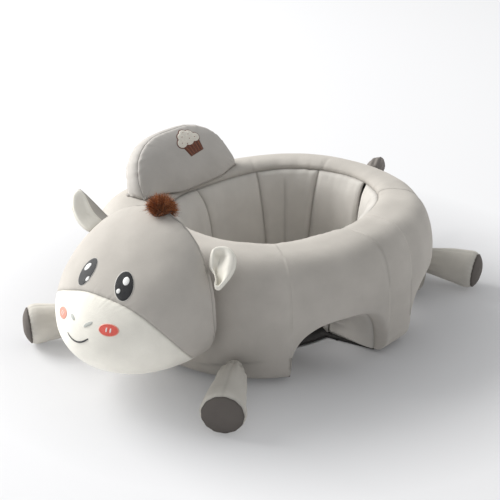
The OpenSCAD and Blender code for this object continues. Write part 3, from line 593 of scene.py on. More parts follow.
def ring_marks(p, a, to_rim):
    """Dents and shadows of the ring's short seams, and the gathers round each sewn-on root."""
    # The belly seam over the near foreleg
    seam_z = 34 + 0.7 * (a + 65)
    belly = bump(p[..., 2] - seam_z, 1.8) * smooth((13 - np.abs(a + 66)) / 6) * (p[..., 0] < 0)
    d, seam = -1.4 * belly, 0.7 * belly
    # The cross seams over the back band
    for at in (146.5, 105.5):
        off = (a - at + 180) % 360 - 180
        line = bump(off * 3.4, 2.0) * smooth((34 - to_rim) / 12)
        d -= 1.2 * line
        seam = np.maximum(seam, 0.45 * line)
    for root in list(LEG_ROOTS.values()) + [TAIL_AT]:
        gap = np.linalg.norm(p - root, axis=-1)
        turn = np.arctan2(p[..., 2] - root[2], np.linalg.norm(p[..., :2] - root[:2], axis=-1))
        gathers = np.sin(turn * 22 + 3 * noise3(p / 20, 5)) * np.exp(-np.abs(gap - 14) / 12)
        d += 0.9 * gathers * (gap < 60) - 2.2 * bump(gap - 15, 12)
    return d, seam


def ring_cover():
    """The outer skin, from the base hem over the crown to the rim seam."""
    ts = even_ts(HEM_T, RIM_T, 84)
    ao, ai, low = (STATIONS[:, k, None] for k in range(3))
    p = section(ao, ai, low, ts[None, :])
    centre = section(ao, ai, low, np.array([[90.0]])) * [1, 1, 0.55]
    n = outward(p, True, centre)
    across = lengths(p, 1)
    to_rim = across[:, -1:] - across
    arch = smooth((low - FLOOR_Z) / 20)
    a = np.broadcast_to(ao, to_rim.shape)
    d, marks = ring_marks(p, a, to_rim)
    d += -3.2 * bump(to_rim, 3.2) - 1.6 * bump(across, 3.0)
    d += 1.5 * round_noise(a, across, 75, 90, 1) + 0.5 * round_noise(a, across, 26, 40, 2)
    # Small pulls that run away from the rim seam and from the arches' seams
    d += 0.75 * round_noise(a, to_rim, 7, 60, 3) * np.exp(-to_rim / 14)
    d += 0.9 * arch * round_noise(a, across, 9, 80, 4) * np.exp(-across / 16)
    # Painted shade along the rim seam and the hem, with the short seams' shadows
    seam = np.maximum(0.8 * bump(to_rim, 2.2) + 0.7 * bump(across, 2.4), marks)
    ob = shell("ring_cover_skin", p + n * d[..., None], n, SKIN_T, True, seam)
    place(ob, "seat", BODY, ["ring_cover", "ring_stuffing"])


def arch_liner(side):
    """The fabric over one leg arch; side is 1 towards the tail and -1 towards the head."""
    ts = even_ts(HEM_T, INNER_HEM_T - 360, 34, (30, 38, ARCH_H - 4))
    st = arch_stations(90) * [side, side, 1]
    ao, ai, low = (st[:, k, None] for k in range(3))
    p = section(ao, ai, low, ts[None, :])
    n = outward(p, False, np.array([side * 80.0, -140, 200]))
    n = n * -np.sign(np.mean(n[40:50, :, 2]))
    across, along = lengths(p, 1), lengths(p, 0)
    width = across[:, -1:]
    q = stack(along / 22, across / 45, 0.0)
    d = -1.4 * bump(across, 3) - 1.4 * bump(width - across, 3)
    d += 1.1 * noise3(q, 6 + side) + 0.6 * noise3(q * 2.3, 8)
    gather = bump(across - width * 0.8, 18) * bump(along - along[-1:] * (0.86 if side > 0 else 0.14), 22)
    d += 2.2 * gather * np.sin(along / 2.6 + 2 * noise3(q * 2, 9))
    # Painted shade along both edges' seams and in the gather
    seam = 0.75 * bump(across, 2.4) + 0.6 * bump(width - across, 2.4) + 0.35 * gather
    name = "arch_liner_tail_side" if side > 0 else "arch_liner_head_side"
    ob = shell(name + "_skin", p + n * d[..., None], n, LINER_T, False, seam)
    place(ob, "seat", BODY_IN, [name])


# Upright seams of the well: outer direction at the rim and at the foot
SEAMS = [(-167, -177), (-115, -119), (-62, -62), (75, 73), (107, 113), (145, 137.5)]
LININGS = [
    ("lining_front", 2, 3), ("lining_tail_side", 3, 4), ("lining_tail_corner", 4, 5),
    ("lining_back", 5, 0), ("lining_head_corner", 0, 1), ("lining_head_side", 1, 2),
]


def lining(name, first, last, seed):
    """One upright panel of the well, between two of its seams."""
    ts = even_ts(RIM_T, INNER_HEM_T, 46)
    rows = np.linspace(0, 1, len(ts))[None, :]
    if name == "lining_front":
        ends = [[[a, inner_of(np.array(a)), FLOOR_Z]] for a in (-62.0, 73.0)]
        st = [ends[0], MIRROR[MIRROR[:, 0] > -61.7], HALF[HALF[:, 0] < 72.9], ends[1]]
        ao, ai, low = (np.concatenate(st)[:, k, None] + 0 * rows for k in range(3))
    else:
        a0, a1 = (mix(*SEAMS[k], rows) for k in (first, last))
        a1 = np.where(a1 < a0, a1 + 360, a1)
        count = int(np.ceil((a1 - a0).max() * 0.75))
        ao = mix(a0, a1, np.linspace(0, 1, count)[:, None])
        ai = inner_of((ao + 180) % 360 - 180)
        low = np.full(ao.shape, FLOOR_Z)
    p = section(ao, ai, low, ts[None, :])
    centre = section(ao, ai, low, np.full(ao.shape, 90.0)) * [1, 1, 0.55]
    n = outward(p, False, centre)
    across, along = lengths(p, 1), lengths(p, 0)
    edge = np.minimum(along, along[-1:] - along)
    d = -np.maximum(3.2 * bump(across, 3.2), 3.4 * bump(edge, 3.4))
    # Each panel swells between its seams, with long folds that hang from the rim
    d += 1.7 * smooth(edge / 26) * smooth(across / 30)
    folds = noise3(stack(along / 24, across / 160, seed), 20 + seed)
    d += 1.3 * folds * smooth(across / 25) * smooth(edge / 14)
    d += 0.8 * noise3(stack(along / 9, across / 70, seed), 30 + seed) * np.exp(-edge / 18)
    d += 0.75 * round_noise(ao, across, 7, 60, 3) * np.exp(-across / 14)
    # Painted shade along the seams at the rim and at the panel's sides
    seam = np.maximum(0.8 * bump(across, 2.2), 0.5 * bump(edge, 1.8))
    if name == "lining_tail_corner":
        # This panel has one deep fold, with painted shade in it
        mid = along - 0.55 * along[-1:]
        below = smooth((across - 8) / 20)
        d -= 2.6 * bump(mid, 3.2) * below
        seam = np.maximum(seam, 0.5 * bump(mid, 2.0) * below)
    ob = shell(name + "_skin", p + n * d[..., None], n, LINING_T, False, np.minimum(seam, 1))
    place(ob, "seat", BODY_IN, [name])


# The head's form


def direction(u, v):
    return stack(-cos(v), sin(v) * sin(u), sin(v) * cos(u))


def dipped(p):
    c, s = cos(HEAD_DIP), sin(HEAD_DIP)
    return stack(p[..., 0] * c + p[..., 2] * s, p[..., 1], -p[..., 0] * s + p[..., 2] * c)


def ray(o, e):
    """How far along e the unit sphere is from o."""
    oe, ee = np.sum(o * e, -1), np.sum(e * e, -1)
    return (-oe + np.sqrt(np.maximum(oe**2 - ee * (np.sum(o * o, -1) - 1), 1e-9))) / ee


def front_r(g):
    rm = ray((EYE - MUZZLE_MID) / MUZZLE_AXES, g / MUZZLE_AXES)
    rb = ray(dipped(EYE - BROW_MID) / BROW_AXES, dipped(g) / BROW_AXES)
    return (rm**-BLEND_N + rb**-BLEND_N) ** (-1 / BLEND_N)


def back_r(g):
    return np.where(g[..., 0] < 0, 1000.0, ray(np.zeros(3), g / BACK_AXES))


def form_r(g):
    return np.minimum(front_r(g), back_r(g))


def head_pt(u, v, radius):
    g = direction(u, v)
    return EYE + g * radius(g)[..., None]


def last_angle(test, u, most):
    """Last angle from the nose, from 60 to the most, for which test of the direction holds."""
    u = np.asarray(u, float)
    start = np.full(u.shape, 60.0)
    return halve(lambda v: test(direction(u, v)), start, np.full(u.shape, most), 16)[0]


def back_seam(u):
    return last_angle(lambda g: back_r(g) > front_r(g), u, 160.0)


def neck(u):
    return last_angle(lambda g: ring_side(EYE + g * form_r(g)[..., None], 0.8) > 0, u, 176.0)


def panel_end(u):
    return np.minimum(back_seam(u), neck(u))


def muzzle_v(u):
    even = mix(28.5, 63.5, (np.abs(u) / 90) ** 2.05)
    return np.minimum(panel_end(u), even - 7.5 * bump(u - 68, 38) + 1.2 * bump(u + 68, 30))


def head_detail(p, u, to_muzzle, to_back):
    """Soft dents, seam grooves and small pulls on the head; distances to its seams are in millimetres."""
    d = 1.1 * noise3(p / 70, 41) + 0.35 * noise3(p / 24, 42)
    d -= 1.3 * bump(to_muzzle, 2.4) + 2.2 * bump(to_back, 3.0)
    d += 0.35 * noise3(stack(u / 2.6, to_muzzle / 40, 0.0), 43) * np.exp(-to_muzzle / 9)
    d += 0.8 * noise3(stack(u / 3.5, to_back / 60, 0.0), 44) * np.exp(-to_back / 16)
    # Two short creases where each ear pulls at the panel
    for at in (-52, 50):
        d -= 1.3 * (bump((u - at) * 1.9 - 2, 1.7) + bump((u - at) * 1.9 + 6, 1.7)) * np.exp(-to_back / 14)
    return d


def head_panel():
    us = np.linspace(*MUZZLE_ENDS, 230)[:, None]
    end = panel_end(us)
    # Where the panel meets the ring, its edge runs on out of sight
    hidden = np.where(end > neck(us) - 0.5, 3.0, 0)
    v = mix(muzzle_v(us), end + hidden, np.linspace(0, 1, 62)[None, :])
    p = head_pt(us, v, front_r)
    n = outward(p, False, EYE)
    from_muzzle = lengths(p, 1)
    to_back = from_muzzle[:, -1:] - from_muzzle
    d = head_detail(p, us + 0 * v, from_muzzle, to_back)
    # Painted shade along the seams to the muzzle and the nape
    seam = 0.55 * bump(from_muzzle, 1.8) + 0.8 * bump(to_back, 2.2)
    ob = shell("head_panel_skin", p + n * d[..., None], n, SKIN_T, False, seam)
    place(ob, "seat", BODY, ["head_panel", "head_stuffing"])


def muzzle_panel():
    us = np.linspace(-180, 180, 261)[:-1, None]
    free = (us < MUZZLE_ENDS[0]) | (us > MUZZLE_ENDS[1])
    v = (muzzle_v(us) + np.where(free, 3.0, 0)) * np.linspace(0, 1, 70)[None, :]
    p = head_pt(us, v, front_r)
    n = unit(p - EYE)
    n[:, 2:] = outward(p, True, EYE)[:, 2:]
    from_nose = lengths(p, 1)
    to_edge = from_nose[:, -1:] - from_nose
    d = head_detail(p, us + 0 * v, np.where(free, 200, to_edge), np.where(free, to_edge, 200))
    d = np.where(from_nose < 12, mix(d[:1, :1], d, smooth(from_nose / 12)), d)
    # Painted shade along the muzzle's edge
    seam = np.where(free, 0.8, 0.55) * bump(to_edge, 1.8)
    ob = shell("muzzle_panel_skin", p + n * d[..., None], n, SKIN_T, True, seam)
    place(ob, "seat", WHITE, ["muzzle_panel"])


def nape_panel():
    us = np.linspace(*NAPE_ENDS, 170)[:, None]
    v = mix(back_seam(us), neck(us) + 4, np.linspace(0, 1, 26)[None, :])
    p = head_pt(us, v, back_r)
    n = outward(p, False, EYE)
    from_seam = lengths(p, 1)
    d = head_detail(p, us + 0 * v, 200 + 0 * from_seam, from_seam) + 1.2 * smooth(from_seam / 12)
    # Painted shade along the seam to the head panel
    ob = shell("nape_panel_skin", p + n * d[..., None], n, SKIN_T, False, 0.8 * bump(from_seam, 2.2))
    place(ob, "seat", BODY, ["nape_panel"])


def on_head(at, x, z, d):
    """A point over the head's skin, x across and z up from a place on it, d outward."""
    g = direction(*[np.float64(k) for k in at])
    across = unit(np.cross([0, 0, 1.0], g))
    up = np.cross(g, across)
    h = unit(g * form_r(g) + np.multiply.outer(x, across) + np.multiply.outer(z, up))
    skin = EYE + h * form_r(h)[..., None]
    lift = 1.1 * noise3(skin / 70, 41) + 0.35 * noise3(skin / 24, 42)
    return EYE + h * (form_r(h) + lift + d)[..., None]


def disc(name, at, w, h, thick, lean=0.0, low=-0.5, inner=0.0, n=56, rows=12, dome=0.35, shift=(0, 0)):
    """A flat ellipse of stitches that follows the head; inner above 0 leaves a ring."""
    th = around(n)
    f = np.concatenate([np.linspace(inner, 0.93, rows), [0.98, 1.0, 1.0, inner]])[None, :]
    top = thick * (1 - dome * f**2)
    top[0, -4:] = [thick * 0.55, thick * 0.2, low, low]
    x, z = f * w * cos(th), f * h * sin(th)
    px = shift[0] + x * cos(lean) - z * sin(lean)
    pz = shift[1] + x * sin(lean) + z * cos(lean)
    p = on_head(at, px, pz, np.broadcast_to(top, x.shape))
    if inner > 0:
        p = np.concatenate([p, p[:, :1]], 1)
    return solid(name, p)


# The face's pieces: [turn round the nose, angle from it, half width, half height, lean]
EYES = {"left": (-31.0, 48.4, 12.7, 20.2, 6), "right": (25.5, 45.6, 11.5, 20.5, 20)}
GLINTS = {
    "left": ((-29.2, 51.8, 4.5, 6.0, 0), (-31.9, 42.3, 2.8, 3.3, 0)),
    "right": ((27.0, 49.5, 3.8, 6.2, 0), (20.8, 38.6, 2.3, 3.6, 0)),
}
CHEEKS = {"left": (-73, 24.5, 14.3, 7.6, 4), "right": (77, 22.4, 10.6, 7.0, 0)}
NOSTRILS = {"left": (-43, 9.7, 7.4, 2.3, 36), "right": (52, 11.5, 5.4, 2.1, -25)}


def badge(name, piece, grow, thick, thread, nodes=(), **more):
    turn, angle, w, h, lean = piece
    ob = disc(name, (turn, angle), w + grow, h + grow, thick, lean, **more)
    place(ob, "seat", THREADS[thread], nodes)


def face():
    """Eyes with their glints, cheeks with two strokes each, and nostrils, all in satin stitch."""
    edge = {"rows": 4, "dome": 0.1}
    for side in ("left", "right"):
        first = side == "left"
        eye, cheek = EYES[side], CHEEKS[side]
        badge(f"eye_{side}_stitch", eye, 0, 1.0, "black", [f"eye_{side}"])
        badge(f"eye_{side}_edge", eye, 0.6, 0.6, "pale grey", inner=0.95, **edge)
        for part, glint in zip(("up", "low"), GLINTS[side]):
            nodes = ["eye_glints"] if first and part == "up" else []
            badge(f"eye_{side}_glint_{part}", glint, 0, 1.7, "white", nodes, low=0.3, n=32, rows=6)
        # The far cheek is painted in a paler coral, for the light on that side of the head
        thread = "coral" if first else "painted lit coral"
        badge(f"cheek_{side}_stitch", cheek, -0.8, 0.85, thread, [f"cheek_{side}"])
        badge(f"cheek_{side}_edge", cheek, 0, 1.0, "pale coral", inner=0.9, **edge)
        turn, angle, w, h, lean = cheek
        stroke = (turn, angle, w * 0.075, h * 0.4, lean - 8)
        for k in (-1, 1):
            fine = {"low": 0.2, "n": 20, "rows": 4, "shift": (k * w * 0.2, 0)}
            badge(f"cheek_{side}_stroke_{k + 1}", stroke, 0, 1.35, "white", **fine)
        nodes = ["nostrils"] if first else []
        badge(f"nostril_{side}", NOSTRILS[side], 0, 0.8, "grey", nodes, n=32, rows=6)


def mouth():
    """A chain-stitched arc."""
    half_w, bend, start = 19.3, 7.5, 0.15
    f = np.linspace(-1, 1, 121)[:, None]
    th = around(12).T
    thick = (1.0 + 0.25 * f) * (1 - 0.55 * np.abs(f) ** 6) * (1 + 0.1 * np.sin(f * 60))
    slope = np.arctan2(2 * bend * (f + start), half_w)
    px = half_w * f - 2 - np.sin(slope) * thick * cos(th)
    pz = bend * (f + start) ** 2 - 11.6 + np.cos(slope) * thick * cos(th)
    p = on_head((180, 1), px, pz, 0.1 + thick * 0.9 * sin(th))
    ends = np.broadcast_to(p.mean(1, keepdims=True), p.shape)
    p = np.concatenate([ends[:1], p, ends[-1:]]).transpose(1, 0, 2)
    place(solid("mouth_chain", p), "seat", THREADS["black"], ["mouth_stitch"])


def fur_tuft():
    """A dome of strands that stand out from it, each a thin three-sided spike."""
    turn = -2.5
    at = np.array([turn, back_seam(np.array(turn)) - 1.5])
    g = direction(at[0], at[1])
    foot = EYE + g * form_r(g)
    core = disc("tuft_core", at, 13, 13, 11, dome=0.9, n=32, rows=8)
    place(core, "seat", FUR, ["fur_tuft"])
    count, rings = 2600, 5
    th, rad = RNG.uniform(0, 360, count), np.sqrt(RNG.uniform(0, 1, count)) * 14.5
    root = on_head(at, rad * cos(th), rad * sin(th), 1 + 9.5 * np.sqrt(np.maximum(0, 1 - (rad / 15.5) ** 2)))
    way = unit(root - (foot - g * 6) + RNG.normal(0, 2.6, (count, 3)))
    length = RNG.uniform(7, 12, count)
    droop = RNG.normal(0, 0.18, (count, 3)) - [0, 0, 0.12]
    side = unit(np.cross(way, RNG.normal(0, 1, (count, 3))))
    other = np.cross(way, side)
    verts = np.zeros((count, rings, 3, 3))
    for k in range(rings):
        f = k / (rings - 1)
        mid = root + way * (length * f)[:, None] + droop * (length * f * f)[:, None]
        w = 0.24 * (1 - f) ** 0.7 + 0.03
        for j in range(3):
            verts[:, k, j] = mid + w * (side * cos(120 * j) + other * sin(120 * j))
    # Each strand's own random tone, with painted shade darker towards its root; the core beneath, with no
    # tone, takes the darkest brown
    along = np.repeat(np.linspace(0.3, 1, rings), 3)
    shade = np.repeat(RNG.uniform(0, 1, count), rings * 3) * np.tile(along, count)
    ob = prisms("tuft_strands", verts, shade)
    place(ob, "seat", FUR)


# Ears


# Each ear's plane and, in it, the rim and the fold's line: [down from the root, out from the root]
EAR_PLANES = {
    "left": (-46.0, 2.8, (-0.387, -0.68, -0.62), (0.725, -0.641, 0.251)),
    "right": (50.0, -0.8, (-0.05, 0.74, 0.67), (0.94, -0.2, 0.28)),
}
LEFT_RIM = [
    (3, 7.2), (-1.4, 11.2), (-4.9, 16.4), (-5.5, 21.7), (-3.7, 28.7), (-0.3, 34.2), (5.7, 37.6), (12.3, 39),
    (18.3, 38.7), (25.6, 36.2), (31.3, 32.9), (38.1, 26.7), (43.8, 18.9), (48, 12.9), (50, 8.6), (48.6, 5.4),
    (45.5, 4.9), (40.3, 5.9), (36.4, 8.1), (31.7, 8.4), (27, 8.3), (20.3, 6.3), (14.4, 4.7), (9, 5.1),
]
LEFT_FOLD = [(5.5, 20.2), (13.9, 15.4), (22.4, 10.9), (27.2, 9.6), (41.4, 9.2)]
RIGHT_RIM = [
    (56.4, 1.6), (57, -4.5), (54.6, -11.6), (48.6, -17.1), (41.4, -21.6), (35.3, -24.1), (23.6, -27.2),
    (13.5, -27.7), (3.5, -26.2), (-2, -21), (-3, -4), (-2.5, 12), (5.8, 15.2), (19.9, 13.1), (38.9, 7.8),
    (50, 4.2),
]
RIGHT_FOLD = [(55, 1.7), (44.9, 1.6), (29.4, -1.1), (16.4, -2), (4, 0.2), (-2.5, 1)]


def curve(points, count, closed=True):
    """Points evenly spaced on a smooth line through the given ones."""
    c = np.asarray(points, float)
    ends = (c[-1:], c[:2]) if closed else (2 * c[:1] - c[1:2], 2 * c[-1:] - c[-2:-1])
    c = np.concatenate([ends[0], c, ends[1]])
    t = np.linspace(0, 1, 21)[:-1, None]
    a, b, d, e = (c[k : len(c) - 3 + k, None] for k in range(4))
    line = 0.5 * (2 * b + (d - a) * t + (2 * a - 5 * b + 4 * d - e) * t**2 + (3 * b - a - 3 * d + e) * t**3)
    line = line.reshape(-1, c.shape[1])
    line = np.concatenate([line, line[:1] if closed else c[-2:-1]])
    run = np.concatenate([[0], np.cumsum(np.linalg.norm(np.diff(line, axis=0), axis=1))])
    at = np.linspace(0, run[-1], count + 1)[:-1] if closed else np.linspace(0, run[-1], count)
    return np.stack([np.interp(at, run, line[:, k]) for k in range(line.shape[1])], -1)


def nearest(points, line):
    return line[np.argmin(np.linalg.norm(points[:, None] - line[None], axis=-1), axis=1)]


def padded_leaf(name, lay, rim, core, top, low):
    """A closed pad between two heights over a leaf; rows run from its core line out to the rim and back."""
    eased = mix(0.9, 1, sin(np.linspace(0, 90, 9)[1:]))
    f = np.concatenate([np.linspace(0, 0.9, 19), eased])[None, :]
    core = np.broadcast_to(core, rim.shape)
    flat = core[:, None] + (rim - core)[:, None] * f[..., None]
    up, down = (height(flat, f) + 0 * flat[..., 0] for height in (top, low))
    p = np.concatenate([flat, flat[:, -2::-1]], 1)
    h = np.concatenate([up, down[:, -2::-1]], 1)
    q = lay(p, h)
    ends = [np.broadcast_to(q[:, k].mean(0), (len(q), 1, 3)) for k in (0, -1)]
    return solid(name, np.concatenate([ends[0], q, ends[1]], 1))


def roll(f):
    """How a leaf's edge rounds off, from 1 inside to 0 at its rim."""
    return np.sqrt(np.maximum(0, 1 - (np.maximum(0, f - 0.78) / 0.22) ** 2))


def bulge(f):
    return np.sqrt(np.maximum(0, 1 - f**2.4))


def left_leaves():
    """The lining and the back: outline, core line, and the heights of the upper and lower side."""
    rim = curve(LEFT_RIM, 132)
    core = nearest(rim, curve(LEFT_FOLD, 60, False))
    core = core + 0.05 * (rim - core)
    top = lambda q, f: (-6.2 + 10.4 * smooth(f / 0.7)) * roll(f) - 0.4
    low = lambda q, f: top(q, np.minimum(f, 0.93)) * (f < 0.93) - 1.6 * roll(f)
    back_top = lambda q, f: np.minimum(top(q, f), 3.0) - 2.6 * roll(f)
    back_low = lambda q, f: -2.6 - 8.6 * bulge(f)
    return (rim, core, top, low), (rim, core, back_top, back_low)


def right_leaves():
    """As on the left, with the back's free side leaning away past the fold."""
    rim = curve(RIGHT_RIM, 132)
    fold = curve(RIGHT_FOLD, 44, False)[::-1]
    past = lambda q: q[..., 1] - np.interp(q[..., 0], fold[:, 0], fold[:, 1])
    white = np.concatenate([rim[past(rim) < -0.4], fold])
    middle = white.mean(0)
    order = np.argsort(np.arctan2(white[:, 1] - middle[1], white[:, 0] - middle[0]))
    white = curve(white[order][::3], 120)
    lean = lambda q: 0.75 * np.maximum(0, past(q))
    top = lambda q, f: (0.6 + 2.6 * smooth(f / 0.75)) * roll(f)
    low = lambda q, f: -1.3 * roll(f)
    back_top = lambda q, f: (1.2 * bump(past(q) - 3, 3) - 1.7) * roll(f) - lean(q)
    back_low = lambda q, f: -1.7 - 8 * bulge(f) - lean(q)
    return (white, middle, top, low), (rim, rim.mean(0), back_top, back_low)


def ear(name):
    """A padded leaf of two fabrics, folded at its root."""
    turn, off, along, span = EAR_PLANES[name]
    root_dir = direction(turn, panel_end(np.array(turn)) - 2)
    root = EYE + root_dir * (form_r(root_dir) + off)
    along = unit(np.array(along))
    span = unit(np.array(span) - along * (along @ np.array(span)))
    n = np.cross(span, along)
    n = n * np.sign(n @ [-0.68, -0.59, 0.44])
    left = name == "left"

    def lay(flat, h):
        x, z = flat[..., 0], flat[..., 1]
        if left:
            # The root's edge is drawn down to the head
            h = h - 11 * smooth((15 - z) / 10) * smooth((34 - x) / 16)
        else:
            h = h + 6 * smooth((30 - x) / 40) * smooth((-8 - z) / 20)
        wave = 0.5 * noise3(stack(x / 11, z / 11, 0.0), 52)
        return root + x[..., None] * along + z[..., None] * span + (h + wave)[..., None] * n

    lining_leaf, back_leaf = left_leaves() if left else right_leaves()
    for part, leaf, mat in (("lining", lining_leaf, WHITE), ("back", back_leaf, BODY)):
        ob = padded_leaf(f"ear_{name}_{part}_skin", lay, *leaf)
        place(ob, f"ear_{name}", mat, [f"ear_{name}_{part}"])
    # Piping between the two fabrics
    edge = lining_leaf[0]
    line = lay(np.concatenate([edge, edge[:2]]), np.full(len(edge) + 2, -1.2))
    place(tube(f"ear_{name}_piping", line, 0.9), f"ear_{name}", WHITE)


def tube(name, path, r, sides=10):
    path = np.asarray(path)
    t = unit(np.gradient(path, axis=0))
    ref = np.array([0.3, 0.2, 1.0])
    a = unit(np.cross(t, ref))
    b = np.cross(t, a)
    th = around(sides)
    ring = path[:, None] + r * (a[:, None] * cos(th) + b[:, None] * sin(th))
    ends = [np.repeat(path[k][None, None], sides, 1) for k in (0, -1)]
    p = np.concatenate([ends[0], ring, ends[1]]).transpose(1, 0, 2)
    return solid(name, p)


# Headrest


def turned(p, axis, a):
    c, s = cos(a), sin(a)
    x, y, z = p[..., 0], p[..., 1], p[..., 2]
    if axis == "x":
        return stack(x, y * c - z * s, y * s + z * c)
    if axis == "y":
        return stack(x * c + z * s, y, -x * s + z * c)
    return stack(x * c - y * s, x * s + y * c, z)


def rest_world(p):
    """From the headrest's own upright frame to the seat's."""
    return REST_AT + turned(turned(turned(p, "y", REST_ROLL), "x", -REST_LEAN), "z", REST_TURN)


def foot_z(x, y):
    """Height over the ring at which the headrest's foot stands, in its own frame."""
    inside = lambda z: ring_side(rest_world(stack(x, y, z)), FOOT_RISE) <= 0
    ends = np.full(x.shape, 40.0)
    return np.maximum(halve(inside, -ends, ends, 14)[1], REST_UNDER)


def cushion(a, f, y):
    """The headrest's plain form in its own frame, and the heights of its loops and of its foot."""
    x = REST_HALF_W * spow(cos(a), REST_SQ) + 0 * y
    foot = foot_z(x, np.maximum(y, 0) + 0 * x)
    # Away from its edge the panel follows a smoother foot, so no crease runs up from the ring
    even, near = (sum(np.roll(foot, k, 0) for k in range(-m, m + 1)) / (2 * m + 1) for m in (12, 4))
    foot = mix(even, near, f**4)
    arc = REST_H * spow(sin(a), REST_SQ) + 0 * y
    z = np.where(sin(a) > 0.01, np.maximum(arc, foot), foot)
    x = x * (1 - 0.06 * smooth((16 - z) / 20))
    # The loops round off inwards, so the foot's corners send no crease to the middle
    round_z = REST_MID + np.where(sin(a) > 0, REST_H - REST_MID, REST_MID) * sin(a)
    x, z = mix(REST_HALF_W * cos(a), x, f**2.5), mix(round_z, z, f**2.5)
    return stack(x * f, y + 0 * x, REST_MID + (z - REST_MID) * f), z, foot


def headrest():
    """The cushion sewn of a front, a gusset and a back; gives its skin to stitch on."""
    a = around(168)
    # Rows: front panel from its middle out, the gusset, and the back panel
    fs = np.linspace(0, 1, 26)[1:]
    gusset = np.linspace(0, REST_GUSSET, 14)[1:-1]
    front, back = len(fs), len(fs) + 1 + len(gusset)
    f = np.concatenate([[0], fs, np.ones(len(gusset)), fs[::-1], [0]])[None, :]
    crown = REST_CROWN * (1 - f[0] ** 3)
    y = np.concatenate([-crown[: front + 1], gusset, REST_GUSSET + crown[back:]])[None, :]
    q, z, foot = cushion(a, f, y)
    n = outward(q, True, np.array([0, REST_GUSSET / 2, REST_MID]))
    along = lengths(q, 1)
    first, second = along[:, front, None], along[:, back, None]
    to_seam = np.minimum(np.abs(along - first), np.abs(along - second))
    on_foot = smooth((4 - (z - foot)) / 4) * smooth((f - 0.8) / 0.15)
    d = -2.4 * bump(to_seam, 3.0) + 1.2 * noise3(q / 55, 61) + 0.4 * noise3(q / 20, 62)
    d += 0.9 * noise3(stack(a / 2.6 + 0 * to_seam, to_seam / 60, 0.0), 63) * np.exp(-to_seam / 13)
    d += np.where((along > first) & (along < second), 2.2 * smooth(to_seam / 12), 0)
    d = d * (1 - 0.8 * on_foot)
    # Painted shade along the gusset's seams
    seam = 0.7 * bump(to_seam, 1.7)
    q = q + n * d[..., None]
    q[:, 0] = q[:, 0].mean(0)
    q[:, -1] = q[:, -1].mean(0)
    skin = settle("headrest_cloth", q, np.maximum(smooth((14 - z) / 14), bump(to_seam, 4)))
    w = rest_world(skin)
    n = outward(w, True, REST_AT + [0, 20, 35])
    for name, rows, nodes in (
        ("headrest_front", slice(0, front + 1), ["headrest_front", "headrest_stuffing"]),
        ("headrest_gusset", slice(front, back + 1), ["headrest_gusset"]),
        ("headrest_back", slice(back, None), ["headrest_back"]),
    ):
        ob = shell(name + "_skin", w[:, rows], n[:, rows], LINING_T, True, seam[:, rows])
        place(ob, "headrest", REST, nodes)
    return skin


def settle(name, q, held):
    """Cloth of a closed grid under its stuffing's pressure, moved a little; held is 0 to 1."""
    nu, nv = q.shape[:2]
    ob = raw_mesh(name, q.reshape(-1, 3), grid_faces(nu, nv, True)[:, ::-1])
    pins = ob.vertex_groups.new(name="held")
    for k, weight in enumerate(held.ravel()):
        pins.add([k], float(weight), "REPLACE")
    cloth = ob.modifiers.new("cloth", "CLOTH")
    cloth.settings.vertex_group_mass = "held"
    cloth.settings.quality = 5
    cloth.settings.mass = 0.3
    cloth.settings.use_pressure = True
    cloth.settings.uniform_pressure_force = SETTLE_PRESSURE
    cloth.settings.effector_weights.gravity = 0
    for frame_no in range(1, SETTLE_FRAMES + 1):
        bpy.context.scene.frame_set(frame_no)
    shape = ob.evaluated_get(bpy.context.evaluated_depsgraph_get()).data
    out = np.empty(nu * nv * 3)
    shape.vertices.foreach_get("co", out)
    bpy.data.objects.remove(ob)
    bpy.context.scene.frame_set(1)
    move = out.reshape(q.shape) / MM - q
    far = np.linalg.norm(move, axis=-1, keepdims=True)
    move = move * np.minimum(1, SETTLE_MAX / np.maximum(far, 1e-6))
    move[:, 0], move[:, -1] = move[:, 1].mean(0), move[:, -2].mean(0)
    return q + move


def patch_y(skin, x, z):
    """Depth of the front panel at a place on it, from the finished skin."""
    front = skin[:, :24].reshape(-1, 3)
    out = np.empty(x.shape)
    for i in np.ndindex(x.shape):
        near = np.argpartition((front[:, 0] - x[i]) ** 2 + (front[:, 2] - z[i]) ** 2, 4)[:4]
        w = 1 / ((front[near, 0] - x[i]) ** 2 + (front[near, 2] - z[i]) ** 2 + 0.05)
        out[i] = np.sum(front[near, 1] * w) / np.sum(w)
    return out


def stitched(name, skin, outline, thick, thread, nodes=()):
    """A filled shape of stitches on the headrest's front, from its outline round the cup's middle."""
    x, z = np.asarray(outline, float).T * CUP_SIZE
    z = z - CUP_DROP
    turned_x, turned_z = x * cos(CUP_LEAN) - z * sin(CUP_LEAN), x * sin(CUP_LEAN) + z * cos(CUP_LEAN)
    outline = stack(CUP_AT[0] + turned_x, CUP_AT[1] + turned_z)
    c = outline.mean(0)
    inside = np.linspace(0, 0.94, 9)
    f = np.concatenate([inside, [0.985, 1.0, 1.0, 0.0]])
    h = np.concatenate([thick * (1 - 0.25 * inside**2), [thick * 0.6, thick * 0.25, -0.5, -0.5]])
    pts = c + (outline - c)[:, None] * f[None, :, None]
    y = patch_y(skin, pts[..., 0], pts[..., 1]) - h[None, :]
    w = rest_world(stack(pts[..., 0], y, pts[..., 1]))
    place(solid(name, w), "headrest", THREADS[thread], nodes)


def round_shape(x, z, w, h, n=36):
    a = around(n)[:, 0]
    return stack(x + w * cos(a), z + h * sin(a))


def quad_shape(corners, n):
    """A four-cornered outline with n - 1 points along each side."""
    c = np.asarray(corners, float)
    f = np.linspace(0, 1, n)[:-1, None]
    return np.concatenate([mix(c[k], c[(k + 1) % 4], f) for k in range(4)])


